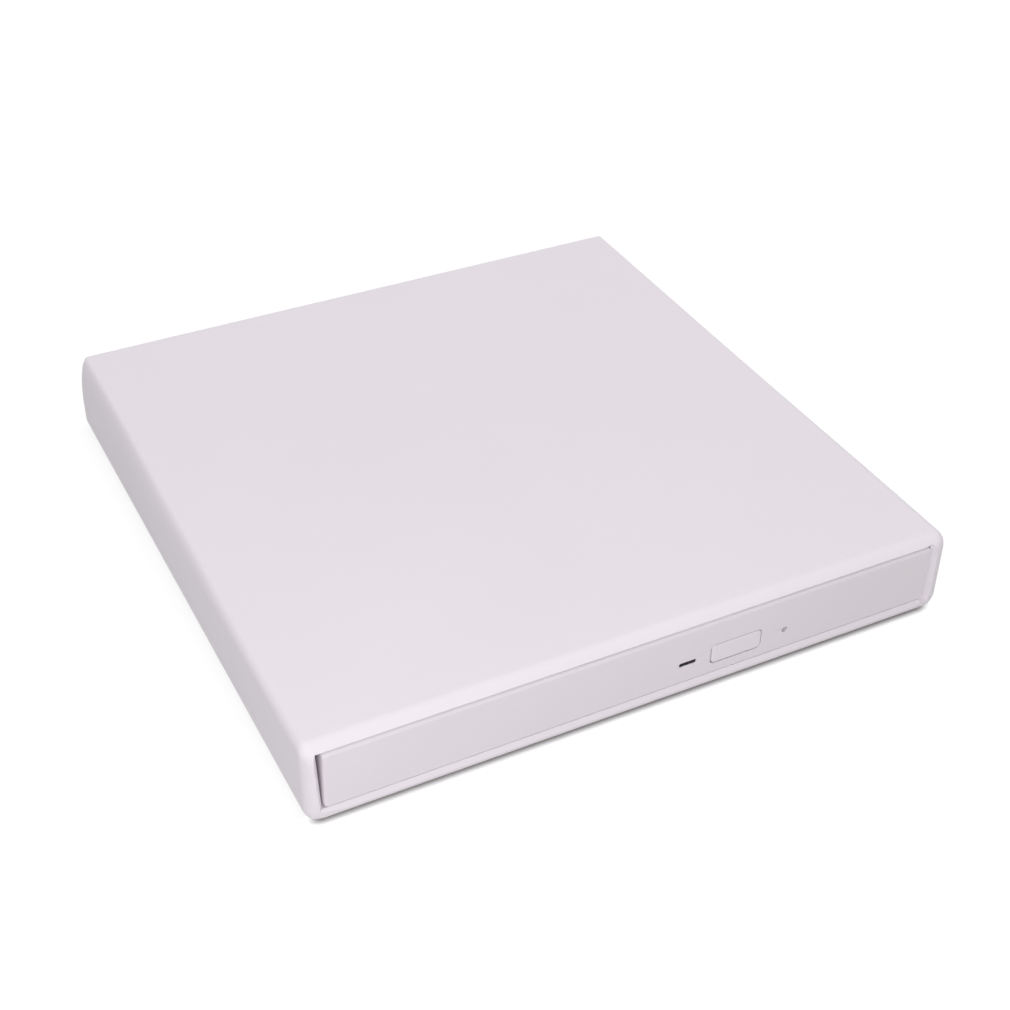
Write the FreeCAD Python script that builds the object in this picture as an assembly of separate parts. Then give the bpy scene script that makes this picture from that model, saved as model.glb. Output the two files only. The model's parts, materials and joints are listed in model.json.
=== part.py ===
import FreeCAD, Part
import math
import os
from FreeCAD import Placement, Rotation, Vector

# External disc drive: a slim tray-load drive in a two-part plastic case.
# Millimetres. The front faces -Y, X runs to the right seen from the front, Z is up.
# The origin is the middle of the footprint, on the surface that the feet stand on.
# The tray is closed at rest.

os.makedirs("parts", exist_ok=True)

# Disc
disc_radius = 60.0
disc_thickness = 1.2
disc_lift = 1.5  # floor of the disc well to the disc
small_disc_radius = 40.0
small_well_depth = 0.5

# Slim drive, across
well_gap = 0.6  # disc edge to the wall of the well
left_rim = 3.2  # tray rim left of the well
left_gap = 0.8  # tray rim to the chassis
ledge_disc_gap = 0.6  # disc edge to the chassis wall above the ledge
ledge_width = 11.2  # thin ledge on the right, which only the disc reaches over
sheet = 0.6  # pressed steel of chassis and lid
lid_fit = 0.2  # lid flange to chassis wall

# Slim drive, front to back
front_stack = 4.0  # front edge of the chassis to the disc
rear_disc_gap = 0.8
rear_fit = 0.1

# Slim drive, from the chassis floor up
cable_space = 1.3
cover_sheet = 0.4
mech_space = 4.25
tray_floor = 1.2
well_height = 4.35  # floor of the disc well to the lid
rim_gap = 0.8  # tray rim to the lid
ledge_drop = 1.65  # disc to the ledge under it

# Case
side_gap = 1.4
side_wall = 2.6
top_wall = 1.5
rear_wall = 2.2
floor_wall = 1.6
front_frame = 2.4
bay_depth = 8.2  # room behind the drive
pad_height = 1.25
lid_gap = 0.15
plate_gap = 0.15  # bottom plate to the walls round it
foot_proud = 0.8
foot_radius = 4.5
foot_inset = 14.0
corner_radius = 3.0
top_end_radius = 3.6
top_side_radius = 2.4
low_chamfer = 1.7
cavity_radius = 1.0

# Front bezel and what shows in it
bezel_recess = 0.45
bezel_thickness = 3.85
bezel_plate = 1.6
bezel_rim = 1.4
bezel_corner = 0.8
bezel_edge = 0.35
bezel_flare = 0.6  # how much wider the bezel is at its lower edge, each side
bezel_gap = 0.2
bezel_side_gap_top = 1.3
bezel_side_gap_low = 0.45
body_gap = 0.2
button_x = 19.8
button_width = 11.0
button_height = 4.2
button_round = 1.0
button_edge = 0.3
button_gap = 0.2
button_proud = 0.05
button_travel = 0.6
lamp_x = 9.0
lamp_width = 3.7
lamp_height = 0.9
pin_x = 30.75
pin_hole_radius = 0.62
row_level = 4.3  # lamp, button and pin hole above the bezel's lower edge

# Slide rails
rail_height = 3.2
rail_sheet = 0.5
rail_gap = 0.1
rail_depth = 1.6
guide_sheet = 0.5
skirt_inset = 2.5  # chassis wall to the tray's side, where the rails run

# Tray
tray_wall = 1.4
rear_tray_gap = 1.8
skirt_end_gap = 10.8  # chassis rear wall to the tray's skirt
corner_cut = 4.0

# Spindle
hub_radius = 7.45
hub_taper = 0.6  # lead-in above the disc
pad_thickness = 0.6
pad_inner = 9.0
turntable_radius = 13.4
rotor_opening = 15.0
spindle_shaft_radius = 1.0
running_gap = 0.05
claw_count = 3
claw_width = 2.0
claw_height = 0.7
claw_length = 2.9
claw_reach = 0.45
claw_travel = 0.5

# Pickup traverse, along its own travel direction from the spindle
travel_angle = -135.0
lens_inner = 23.0
lens_edge = 2.5  # how far inside the disc edge the lens stops
lens_radius = 1.98
sled_half = 7.5
sled_half_width = 11.3
shaft_spread = 13.3
shaft_radius = 1.0
frame_half_width = 19.0
frame_sheet = 0.8
screw_offset = 17.0
screw_radius = 0.9
motor_radius = 1.8
motor_length = 13.0
focus_travel = 0.6

# Latch
latch_pivot_x = 38.0
latch_pivot_y_gap = 8.4  # front wall of the tray to the pivot
latch_arm = 12.5
latch_angle = 9.0
latch_width = 2.6
prong_radius = 0.8
latch_pin_radius = 1.0
solenoid_arm = 7.0

# Bridge board and rear sockets
board_sheet = 0.8
standoff_height = 2.0
usb_x = -28.0
usb_width = 7.7
usb_height = 3.9
usb_sheet = 0.35
jack_x = 26.0
jack_width = 6.6
jack_height = 6.0
jack_bore = 1.9
jack_nose = 2.9
connector_x = 1.0
connector_width = 30.0

# Small pins, screws and their holes are drawn with flat sides, finer where one turns
small_sides = 8
turning_sides = 12
end_sides = 6

# Levels
z_shell = foot_proud
z_plate_top = z_shell + floor_wall
z_drive = z_plate_top + pad_height
z_floor = z_drive + sheet
z_cover = z_floor + cable_space
z_mech = z_cover + cover_sheet
z_under = z_mech + mech_space
z_well = z_under + tray_floor
z_lid = z_well + well_height
z_rim = z_lid - rim_gap
z_disc = z_well + disc_lift
z_ledge = z_disc - ledge_drop
z_drive_top = z_lid + sheet
z_cavity = z_drive_top + lid_gap
z_top = z_cavity + top_wall
z_bezel = z_drive + 0.05
z_bezel_top = z_drive_top - 0.05
z_row = z_bezel + row_level

# Places across
x_wall = disc_radius + (well_gap + left_rim + left_gap + ledge_disc_gap) / 2
x_pan = x_wall + sheet
x_lid = x_pan + lid_fit + sheet
x_cavity = x_lid + side_gap
x_case = x_cavity + side_wall
x_spindle = x_wall - ledge_disc_gap - disc_radius
x_step = x_pan - ledge_width
x_rail_wall = x_step - sheet
x_skirt_left = -x_wall + skirt_inset
x_skirt_right = x_rail_wall - skirt_inset
x_tray_left = -x_wall + left_gap
x_tray_right = x_rail_wall - left_gap

# Places front to back
drive_length = front_stack + 2 * disc_radius + rear_disc_gap + 2 * sheet + rear_fit
case_depth = (
    bezel_recess + bezel_thickness + body_gap + drive_length + bay_depth + rear_wall
)
y_case = -case_depth / 2
y_bezel = y_case + bezel_recess
y_bezel_back = y_bezel + bezel_thickness
y_body = y_bezel_back + body_gap
y_spindle = y_body + front_stack + disc_radius
y_wall = y_spindle + disc_radius + rear_disc_gap
y_pan = y_wall + sheet
y_lid = y_pan + rear_fit + sheet
y_cavity = y_lid + bay_depth
y_back = y_cavity + rear_wall
y_tray_front = y_bezel_back
y_tray_wall = y_tray_front + 1.8
y_tray_back = y_wall - rear_tray_gap
y_skirt_back = y_wall - skirt_end_gap

# Bezel
bezel_half = x_lid

# Traverse
lens_outer = disc_radius - lens_edge
window_start = lens_inner - sled_half - 0.7
window_end = lens_outer + sled_half + 0.4
frame_end = window_end + 2.2
z_frame = z_mech + 0.3
z_frame_top = z_frame + frame_sheet
z_shaft = z_frame_top + 0.25 + shaft_radius
z_screw = z_shaft - 0.1
ear_reach = frame_end + 2.0
ear_spread = 8.0
near_bush = -16.5

# Latch
y_latch = y_tray_wall + latch_pivot_y_gap
z_lever = z_row - 0.4
y_arm = y_latch + latch_arm


def box(x0, x1, y0, y1, z0, z1):
    return Part.makeBox(x1 - x0, y1 - y0, z1 - z0, Vector(x0, y0, z0))


def disc(x, y, z0, z1, radius):
    return Part.makeCylinder(radius, z1 - z0, Vector(x, y, z0))


def bar_x(x0, x1, y, z, radius):
    return Part.makeCylinder(radius, x1 - x0, Vector(x0, y, z), Vector(1, 0, 0))


def bar_y(x, z, y0, y1, radius):
    return Part.makeCylinder(radius, y1 - y0, Vector(x, y0, z), Vector(0, 1, 0))


def pin(a, b, start, end, radius, axis="z", sides=small_sides):
    """A small pin or hole along an axis; a and b are its two other coordinates."""
    turns = [math.pi * (2 * i + 1) / sides for i in range(sides)]
    outline = [(a + radius * math.cos(t), b + radius * math.sin(t)) for t in turns]
    return prism(outline, axis, start, end)


def join(first, *others):
    return first.multiFuse(list(others)).removeSplitter()


def less(first, *others):
    return first.cut(list(others))


def along(shape, axis, limit=1e-6):
    """Edges of a shape that run straight along X, Y or Z."""
    other = [i for i in range(3) if i != "xyz".index(axis)]
    found = []
    for edge in shape.Edges:
        a = edge.Vertexes[0].Point
        b = edge.Vertexes[-1].Point
        if a.distanceToPoint(b) > limit and all(abs(a[i] - b[i]) < limit for i in other):
            found.append(edge)
    return found


def round_edges(shape, radius_of):
    """Fillet a shape; radius_of gives an edge's radius, or 0 to leave it sharp."""
    doc = FreeCAD.newDocument()
    base = doc.addObject("Part::Feature", "Base")
    base.Shape = shape
    fillet = doc.addObject("Part::Fillet", "Fillet")
    fillet.Base = base
    fillet.Edges = [
        (i, radius_of(edge), radius_of(edge))
        for i, edge in enumerate(shape.Edges, 1)
        if radius_of(edge)
    ]
    doc.recompute()
    result = fillet.Shape.copy()
    FreeCAD.closeDocument(doc.Name)
    return result


def plate(x0, x1, y0, y1, z0, z1, radius):
    """A plate with rounded corners in plan."""
    flat = box(x0, x1, y0, y1, z0, z1)
    return flat.makeFillet(radius, along(flat, "z"))


def panel(x0, x1, z0, z1, y0, y1, radius):
    """A plate with rounded corners seen from the front."""
    flat = box(x0, x1, y0, y1, z0, z1)
    return flat.makeFillet(radius, along(flat, "y"))


def prism(points, axis, start, end):
    """Extrude an outline along X, Y or Z; its points are the two other coordinates in order."""
    i = "xyz".index(axis)
    corners = []
    for p in points:
        c = list(p)
        c.insert(i, start)
        corners.append(Vector(*c))
    face = Part.Face(Part.makePolygon(corners + corners[:1]))
    step = [0, 0, 0]
    step[i] = end - start
    return face.extrude(Vector(*step))


def turned(profile, x, y):
    """Revolve an outline of (radius, height) points about an upright axis."""
    corners = [Vector(r, 0, z) for r, z in profile]
    face = Part.Face(Part.makePolygon(corners + corners[:1]))
    solid = face.revolve(Vector(0, 0, 0), Vector(0, 0, 1), 360)
    solid.translate(Vector(x, y, 0))
    return solid


def capsule(a, b, width, z0, z1):
    """A flat link with round ends between two points."""
    turn = math.atan2(b[1] - a[1], b[0] - a[0])
    outline = []
    for end, first in ((b, turn - math.pi / 2), (a, turn + math.pi / 2)):
        for i in range(end_sides + 1):
            t = first + math.pi * i / end_sides
            outline.append((end[0] + width / 2 * math.cos(t), end[1] + width / 2 * math.sin(t)))
    return prism(outline, "z", z0, z1)


def on_traverse(shape):
    """Move a shape from the traverse's own axes, X along the lens travel, to its place."""
    moved = shape.copy()
    turn = Rotation(Vector(0, 0, 1), travel_angle)
    moved.Placement = Placement(Vector(x_spindle, y_spindle, 0), turn).multiply(moved.Placement)
    return moved


def group(*shapes):
    return Part.makeCompound(list(shapes))


# Case

foot_spots = [
    (sx * (x_case - foot_inset), sy * (case_depth / 2 - foot_inset))
    for sx in (-1, 1)
    for sy in (-1, 1)
]
case_boss_radius = 2.6
case_boss_inset = 2.3
case_screw_spots = [
    (sx * (x_cavity - case_boss_inset - case_boss_radius), y_cavity - 1.2 - case_boss_radius)
    for sx in (-1, 1)
]
drive_screw_y = 40.0
drive_screw_left = -x_wall + 12.6
drive_screw_right = x_rail_wall - 9.4
drive_screw_spots = [
    (x, y_spindle + sy * drive_screw_y)
    for x in (drive_screw_left, drive_screw_right)
    for sy in (-1, 1)
]
drive_post_radius = 3.0
floor_rib_spots = [y_spindle + step * drive_screw_y for step in (-1, 0, 1)]
screw_head_radius = 1.9
screw_head_height = 1.0
head_depth = 1.2
tongue_width = 12.0
tongue_length = 1.0
tongue_height = 0.8
tongue_spots = (-45.0, 0.0, 45.0)
rib_spots = (-40.0, 0.0, 40.0)


def case_blank():
    blank = box(-x_case, x_case, y_case, y_back, z_shell, z_top)

    def radius_of(edge):
        a = edge.Vertexes[0].Point
        b = edge.Vertexes[1].Point
        if abs(a.z - b.z) > 1:
            return corner_radius
        if a.z < z_drive:
            return 0
        return top_side_radius if abs(a.y - b.y) > 1 else top_end_radius

    blank = round_edges(blank, radius_of)
    low = [edge for edge in blank.Edges if all(v.Z < z_shell + 1e-6 for v in edge.Vertexes)]
    return blank.makeChamfer(low_chamfer, low)


def rear_socket_holes():
    gap = 0.25
    usb = box(
        usb_x - usb_width / 2 - gap,
        usb_x + usb_width / 2 + gap,
        y_cavity - 1,
        y_back + 1,
        z_usb - gap,
        z_usb + usb_height + gap,
    )
    jack = bar_y(jack_x, z_jack, y_cavity - 1, y_back + 1, jack_nose + gap)
    return usb, jack


z_board = z_plate_top + standoff_height
z_board_top = z_board + 1.0
z_usb = z_board_top
z_jack = z_board_top + jack_height / 2


def top_cover():
    cavity = plate(
        -x_cavity,
        x_cavity,
        y_case + front_frame,
        y_cavity,
        z_shell - 1,
        z_cavity,
        cavity_radius,
    )
    half_low = bezel_half + bezel_flare + bezel_side_gap_low
    half_top = bezel_half + bezel_side_gap_top
    low = z_bezel - bezel_gap
    high = z_bezel_top + bezel_gap
    opening = prism(
        [(-half_low, low), (half_low, low), (half_top, high), (-half_top, high)],
        "y",
        y_case - 1,
        y_case + front_frame + 0.1,
    )
    cover = less(case_blank(), cavity, opening, *rear_socket_holes())
    pockets = [
        box(
            x - tongue_width / 2 - 0.2,
            x + tongue_width / 2 + 0.2,
            y_case + front_frame - tongue_length - 0.2,
            y_case + front_frame,
            z_shell + 0.5,
            z_shell + 0.5 + tongue_height + 0.2,
        )
        for x in tongue_spots
    ]
    cover = less(cover, *pockets)
    bosses = []
    for x, y in case_screw_spots:
        bosses.append(pin(x, y, z_plate_top + 0.05, z_cavity + 0.1, case_boss_radius))
        bosses.append(box(x - 0.5, x + 0.5, y, y_cavity + 0.1, z_plate_top + 0.05, z_cavity + 0.1))
    ribs = []
    rib = side_gap - 0.15
    for y in rib_spots:
        for side in (-1, 1):
            x0, x1 = sorted((side * (x_cavity - rib), side * (x_cavity + 0.1)))
            ribs.append(box(x0, x1, y - 0.6, y + 0.6, z_plate_top + 0.2, z_cavity + 0.1))
    cover = join(cover, *bosses, *ribs)
    holes = [pin(x, y, z_shell, z_plate_top + 7.2, 0.95) for x, y in case_screw_spots]
    return less(cover, *holes)


def bottom_plate():
    y_front = y_case + front_frame + plate_gap
    base = plate(
        -x_cavity + plate_gap,
        x_cavity - plate_gap,
        y_front,
        y_cavity - plate_gap,
        z_shell,
        z_plate_top,
        cavity_radius - plate_gap,
    )
    extra = [
        box(
            x - tongue_width / 2,
            x + tongue_width / 2,
            y_front - plate_gap - tongue_length,
            y_front + 1,
            z_shell + 0.6,
            z_shell + 0.6 + tongue_height,
        )
        for x in tongue_spots
    ]
    extra += [pin(x, y, z_shell, z_drive, drive_post_radius) for x, y in drive_screw_spots]
    z_rib = z_drive - 0.15
    for y in floor_rib_spots:
        extra.append(box(-x_wall, x_rail_wall, y - 0.5, y + 0.5, z_shell, z_rib))
    for x in (drive_screw_left, drive_screw_right):
        extra.append(box(x - 0.5, x + 0.5, y_body + 2, y_wall, z_shell, z_rib))
    for x, y in board_post_spots():
        extra.append(pin(x, y, z_shell, z_board, 1.8))
        extra.append(pin(x, y, z_shell, z_board_top + 0.5, 0.9))
    base = join(base, *extra)
    cuts = []
    for x, y in case_screw_spots + drive_screw_spots:
        cuts.append(pin(x, y, z_shell - 1, z_shell + head_depth, screw_head_radius + 0.2))
        cuts.append(pin(x, y, z_shell, z_drive + 1, 1.1))
    return less(base, *cuts)


def rubber_feet():
    return group(*[disc(x, y, 0, z_shell, foot_radius) for x, y in foot_spots])


def screw(x, y, z_tip, shank_radius):
    """A pan-head screw put in from below."""
    z_seat = z_shell + head_depth
    return join(
        pin(x, y, z_seat - screw_head_height, z_seat, screw_head_radius),
        pin(x, y, z_seat, z_tip, shank_radius),
    )


def case_screws():
    return group(*[screw(x, y, z_plate_top + 6.6, 0.9) for x, y in case_screw_spots])


def drive_screws():
    return group(*[screw(x, y, z_floor + 0.6, 0.8) for x, y in drive_screw_spots])


# Bridge board

board_half = 46.0
board_post_x = 43.0
y_board0 = y_lid + 0.8
y_board1 = y_cavity - 0.4


def board_post_spots():
    y = (y_board0 + y_board1) / 2
    return [(-board_post_x, y), (board_post_x, y)]


def bridge_board():
    flat = box(-board_half, board_half, y_board0, y_board1, z_board, z_board_top)
    holes = [pin(x, y, z_board - 1, z_board_top + 1, 0.95) for x, y in board_post_spots()]
    return less(flat, *holes)


def bridge_chips():
    main = box(-21, -16, y_board0 + 1, y_board0 + 6, z_board_top, z_board_top + 1.0)
    memory = box(-38.5, -34.5, y_board0 + 1, y_board0 + 6, z_board_top, z_board_top + 1.2)
    crystal = box(18, 21, y_board0 + 0.6, y_board1 - 0.6, z_board_top, z_board_top + 2.5)
    return group(main, memory, crystal)


def bridge_capacitors():
    y = y_board0 + 3.0
    return group(*[pin(x, y, z_board_top, z_board_top + 4.5, 1.6) for x in (33.5, 37.5)])


def usb_outline(inset):
    half = usb_width / 2 - inset
    low = z_usb + inset
    high = z_usb + usb_height - inset
    neck = half - 0.6
    return [
        (usb_x - neck, low),
        (usb_x + neck, low),
        (usb_x + neck, low + 1.2),
        (usb_x + half, low + 1.8),
        (usb_x + half, high),
        (usb_x - half, high),
        (usb_x - half, low + 1.8),
        (usb_x - neck, low + 1.2),
    ]


y_usb0 = y_board0 + 0.3
y_mouth = y_back - 0.15


def usb_socket_shell():
    outer = prism(usb_outline(0), "y", y_usb0, y_mouth)
    inner = prism(usb_outline(usb_sheet), "y", y_usb0 + usb_sheet, y_mouth + 1)
    return less(outer, inner)


def usb_socket_tongue():
    base = prism(usb_outline(usb_sheet + 0.02), "y", y_usb0 + usb_sheet + 0.02, y_usb0 + 3.6)
    z0 = z_usb + usb_height / 2
    tongue = box(usb_x - 2.5, usb_x + 2.5, y_usb0 + 3, y_mouth - 0.8, z0 - 0.2, z0 + 0.8)
    return join(base, tongue)


def power_jack():
    half = jack_width / 2
    body = box(
        jack_x - half, jack_x + half, y_usb0, y_cavity - 0.2, z_board_top, z_board_top + jack_height
    )
    nose = bar_y(jack_x, z_jack, y_cavity - 1, y_mouth, jack_nose)
    bore = bar_y(jack_x, z_jack, y_usb0 + 1.2, y_back, jack_bore)
    contact = pin(jack_x, z_jack, y_usb0 + 0.6, y_mouth - 0.8, 0.6, "y")
    return join(less(join(body, nose), bore), contact)


z_plug = 7.5


def bridge_connector():
    half = connector_width / 2 - 1
    block = box(
        connector_x - half, connector_x + half, y_lid + 0.5, y_lid + 3.4, z_board_top, z_plug + 1.8
    )
    blade_half = half - 1.2
    blade = box(
        connector_x - blade_half,
        connector_x + blade_half,
        y_lid - 2.4,
        y_lid + 1,
        z_plug - 0.5,
        z_plug + 0.5,
    )
    key = box(connector_x - 6.5, connector_x - 5.5, y_lid - 3, y_lid + 0.5, z_plug - 1, z_plug + 1)
    return less(join(block, blade), key)


# Drive chassis

z_bosses = 0.45


def drive_chassis():
    floor = box(-x_pan, x_step, y_body, y_pan, z_drive, z_floor)
    left = box(-x_pan, -x_wall, y_body, y_pan, z_drive, z_lid)
    low_right = box(x_rail_wall, x_step, y_body, y_pan, z_drive, z_ledge)
    ledge = box(x_rail_wall, x_pan, y_body, y_pan, z_ledge - sheet, z_ledge)
    right = box(x_wall, x_pan, y_body, y_pan, z_ledge - sheet, z_lid)
    rear = box(-x_pan, x_step, y_wall, y_pan, z_drive, z_lid)
    rear_ledge = box(x_rail_wall, x_pan, y_wall, y_pan, z_ledge - sheet, z_lid)
    collars = [pin(x, y, z_drive, z_floor + 0.6, 1.8) for x, y in drive_screw_spots]
    half = connector_width / 2
    supports = [
        box(x - 1.5, x + 1.5, y_wall - 6.0, y_wall - 3.0, z_drive, z_floor + z_bosses)
        for x in (connector_x - half + 2, connector_x + half - 2)
    ]
    pan = join(floor, left, low_right, ledge, right, rear, rear_ledge, *collars, *supports)
    pan = round_pan_bends(pan)
    cuts = [pin(x, y, z_drive - 1, z_floor + 1, 0.85) for x, y in drive_screw_spots]
    cuts.append(
        box(
            connector_x - half - 0.5,
            connector_x + half + 0.5,
            y_wall - 0.5,
            y_pan + 0.5,
            z_floor + z_bosses,
            z_plug + 2.4,
        )
    )
    for x, y in lid_screw_spots():
        cuts.append(pin(y, z_lid_screw, x - 1.0, x + 1.0, 0.8, "x"))
    return less(pan, *cuts)


def round_pan_bends(pan):
    """Round the outer bends of the pressed pan."""
    spots = [(-x_pan, z_drive), (x_step, z_drive), (x_pan, z_ledge - sheet)]
    edges = []
    for edge in along(pan, "y"):
        p = edge.Vertexes[0].Point
        if edge.Length > disc_radius and any(
            abs(p.x - x) < 1e-4 and abs(p.z - z) < 1e-4 for x, z in spots
        ):
            edges.append(edge)
    return pan.makeFillet(sheet * 0.8, edges)


flange_height = 3.5
z_lid_screw = z_lid - 2.2


def lid_screw_spots():
    return [(sx * x_pan, y) for sx in (-1, 1) for y in (y_body + 8.0, y_wall - 8.8)]


def drive_lid():
    top = box(-x_lid, x_lid, y_body, y_lid, z_lid, z_drive_top)
    low = z_lid - flange_height
    left = box(-x_lid, -x_lid + sheet, y_body, y_lid, low, z_drive_top)
    right = box(x_lid - sheet, x_lid, y_body, y_lid, low, z_drive_top)
    rear = box(-x_lid, x_lid, y_lid - sheet, y_lid, low, z_drive_top)
    lid = join(top, left, right, rear)
    edges = [
        edge
        for edge in along(lid, "y")
        if edge.Length > disc_radius
        and abs(abs(edge.Vertexes[0].X) - x_lid) < 1e-4
        and abs(edge.Vertexes[0].Z - z_drive_top) < 1e-4
    ]
    lid = lid.makeFillet(sheet * 0.8, edges)
    holes = [pin(y, z_lid_screw, x - 2.0, x + 2.0, 0.85, "x") for x, y in lid_screw_spots()]
    return less(lid, *holes)


def lid_screws():
    screws = []
    for x, y in lid_screw_spots():
        side = math.copysign(1, x)
        head = sorted((side * x_lid, side * (x_lid + 0.5)))
        shank = sorted((side * (x_wall + 0.1), side * x_lid))
        screws.append(
            join(
                pin(y, z_lid_screw, head[0], head[1], 1.5, "x"),
                pin(y, z_lid_screw, shank[0], shank[1], 0.75, "x"),
            )
        )
    return group(*screws)


# Rear connector and flat cable

z_ribbon = z_floor + 0.3
ribbon_sheet = 0.15
ribbon_half = 8.0
ribbon_x = x_spindle
z_rear_board = z_floor + z_bosses
z_rear_board_top = z_rear_board + board_sheet


def connector_board():
    half = connector_width / 2 + 1
    return box(
        connector_x - half,
        connector_x + half,
        y_wall - 8.8,
        y_wall - 0.3,
        z_rear_board,
        z_rear_board_top,
    )


def drive_connector():
    half = connector_width / 2
    body = box(
        connector_x - half,
        connector_x + half,
        y_wall - 5.3,
        y_lid - 0.2,
        z_rear_board_top,
        z_plug + 2.0,
    )
    slot_half = half - 2.0
    slot = box(
        connector_x - slot_half,
        connector_x + slot_half,
        y_lid - 3.2,
        y_lid + 1,
        z_plug - 0.7,
        z_plug + 0.7,
    )
    key = box(
        connector_x - 6.3, connector_x - 5.7, y_lid - 3.3, y_lid - 0.2, z_plug - 0.8, z_plug + 0.8
    )
    return join(less(body, slot), key)


def flex_cable():
    """The ribbon lies on the chassis floor, folds back under the tray and rises to its socket."""
    gap = 0.25
    y_fold = y_spindle - 7.0
    z_low = z_ribbon
    z_high = z_low + ribbon_sheet + 2 * gap
    x0 = ribbon_x - ribbon_half
    x1 = ribbon_x + ribbon_half
    low = box(x0, x1, y_fold, y_wall - 2.8, z_low, z_low + ribbon_sheet)
    z_mid = z_low + ribbon_sheet + gap
    ring = less(
        bar_x(x0, x1, y_fold, z_mid, gap + ribbon_sheet),
        bar_x(x0, x1, y_fold, z_mid, gap),
        box(x0, x1, y_fold, y_fold + 2, z_low - 1, z_high + 1),
    )
    high = box(x0, x1, y_fold, y_socket, z_high, z_high + ribbon_sheet)
    riser = box(x0, x1, y_socket - ribbon_sheet, y_socket, z_high, z_socket)
    return join(low, ring, high, riser)


def latch_post():
    return pin(latch_post_x, latch_post_y, z_floor, z_cover - 0.15, prong_radius)


latch_swing = math.radians(latch_angle)
latch_post_x = latch_pivot_x - latch_arm * math.sin(latch_swing)
latch_post_y = y_latch + latch_arm * math.cos(latch_swing) - 2 * prong_radius - 0.15


# Slide rails

z_rail = (z_mech + z_under) / 2 - 0.15
rail_length = drive_length - 8.0
y_rail = y_body + 2.0


def rail_outline(side):
    """C section of a slide rail; side is +1 for the wall on the left."""
    wall = -x_wall if side > 0 else x_rail_wall
    back = wall + side * (guide_sheet + rail_gap + 0.1)
    web = back + side * rail_sheet
    lip = back + side * rail_depth
    half = rail_height / 2
    inner = half - 0.4
    return [
        (back, z_rail - half),
        (lip, z_rail - half),
        (lip, z_rail - inner),
        (web, z_rail - inner),
        (web, z_rail + inner),
        (lip, z_rail + inner),
        (lip, z_rail + half),
        (back, z_rail + half),
    ]


def slide_rail(side):
    return prism(rail_outline(side), "y", y_rail, y_rail + rail_length)


def rail_guide(side):
    """Plastic channel on the chassis wall, with lips above and below the rail."""
    wall = -x_wall if side > 0 else x_rail_wall
    half = rail_height / 2 + rail_gap
    web = wall + side * guide_sheet
    lip = wall + side * (guide_sheet + 0.9)
    outline = [
        (wall, z_rail - half - 0.5),
        (lip, z_rail - half - 0.5),
        (lip, z_rail - half),
        (web, z_rail - half),
        (web, z_rail + half),
        (lip, z_rail + half),
        (lip, z_rail + half + 0.4),
        (wall, z_rail + half + 0.4),
    ]
    return prism(outline, "y", y_rail, y_rail + rail_length * 0.8)


# Tray

bead_height = 2.0
ejector_x = x_spindle - 42.0
ejector_radius = 1.2
ejector_bore = 1.3
z_ejector = z_under - 1.9
y_ejector_block = y_tray_back - 33.0
tray_screw_spots = [
    (x, y)
    for x in (x_skirt_left + 4.2, x_skirt_right - 3.4)
    for y in (y_tray_wall + 3.6, y_skirt_back - 4.0)
]
hook_spots = (-50.0, 42.0)
rim_skin = 1.2  # top of the rim over the hollow corners
well_wall = 1.3
pocket_radius = disc_radius + well_gap + well_wall


def traverse_window():
    """Window in the floor of the well, with a relief under the floor for the shield."""
    start = window_start - 2.3
    slot = box(start, lens_outer + lens_radius + 0.4, -14.9, 14.9, z_under - 1, z_well + 1)
    relief = box(start, window_end + 1.0, -14.9, 14.9, z_under - 1, z_shield + shield_relief)
    return on_traverse(slot.fuse(relief))


def bush_spots():
    return [(near_bush, 0.0), (ear_reach, -ear_spread), (ear_reach, ear_spread)]


def boss(x, y, radius):
    """A boss under the tray, up to the floor of the well or to the skin over a hollow corner."""
    outside = math.hypot(x - x_spindle, y - y_spindle) > pocket_radius
    top = z_rim - rim_skin if outside else z_under
    return pin(x, y, z_mech, top + 0.5, radius)


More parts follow.
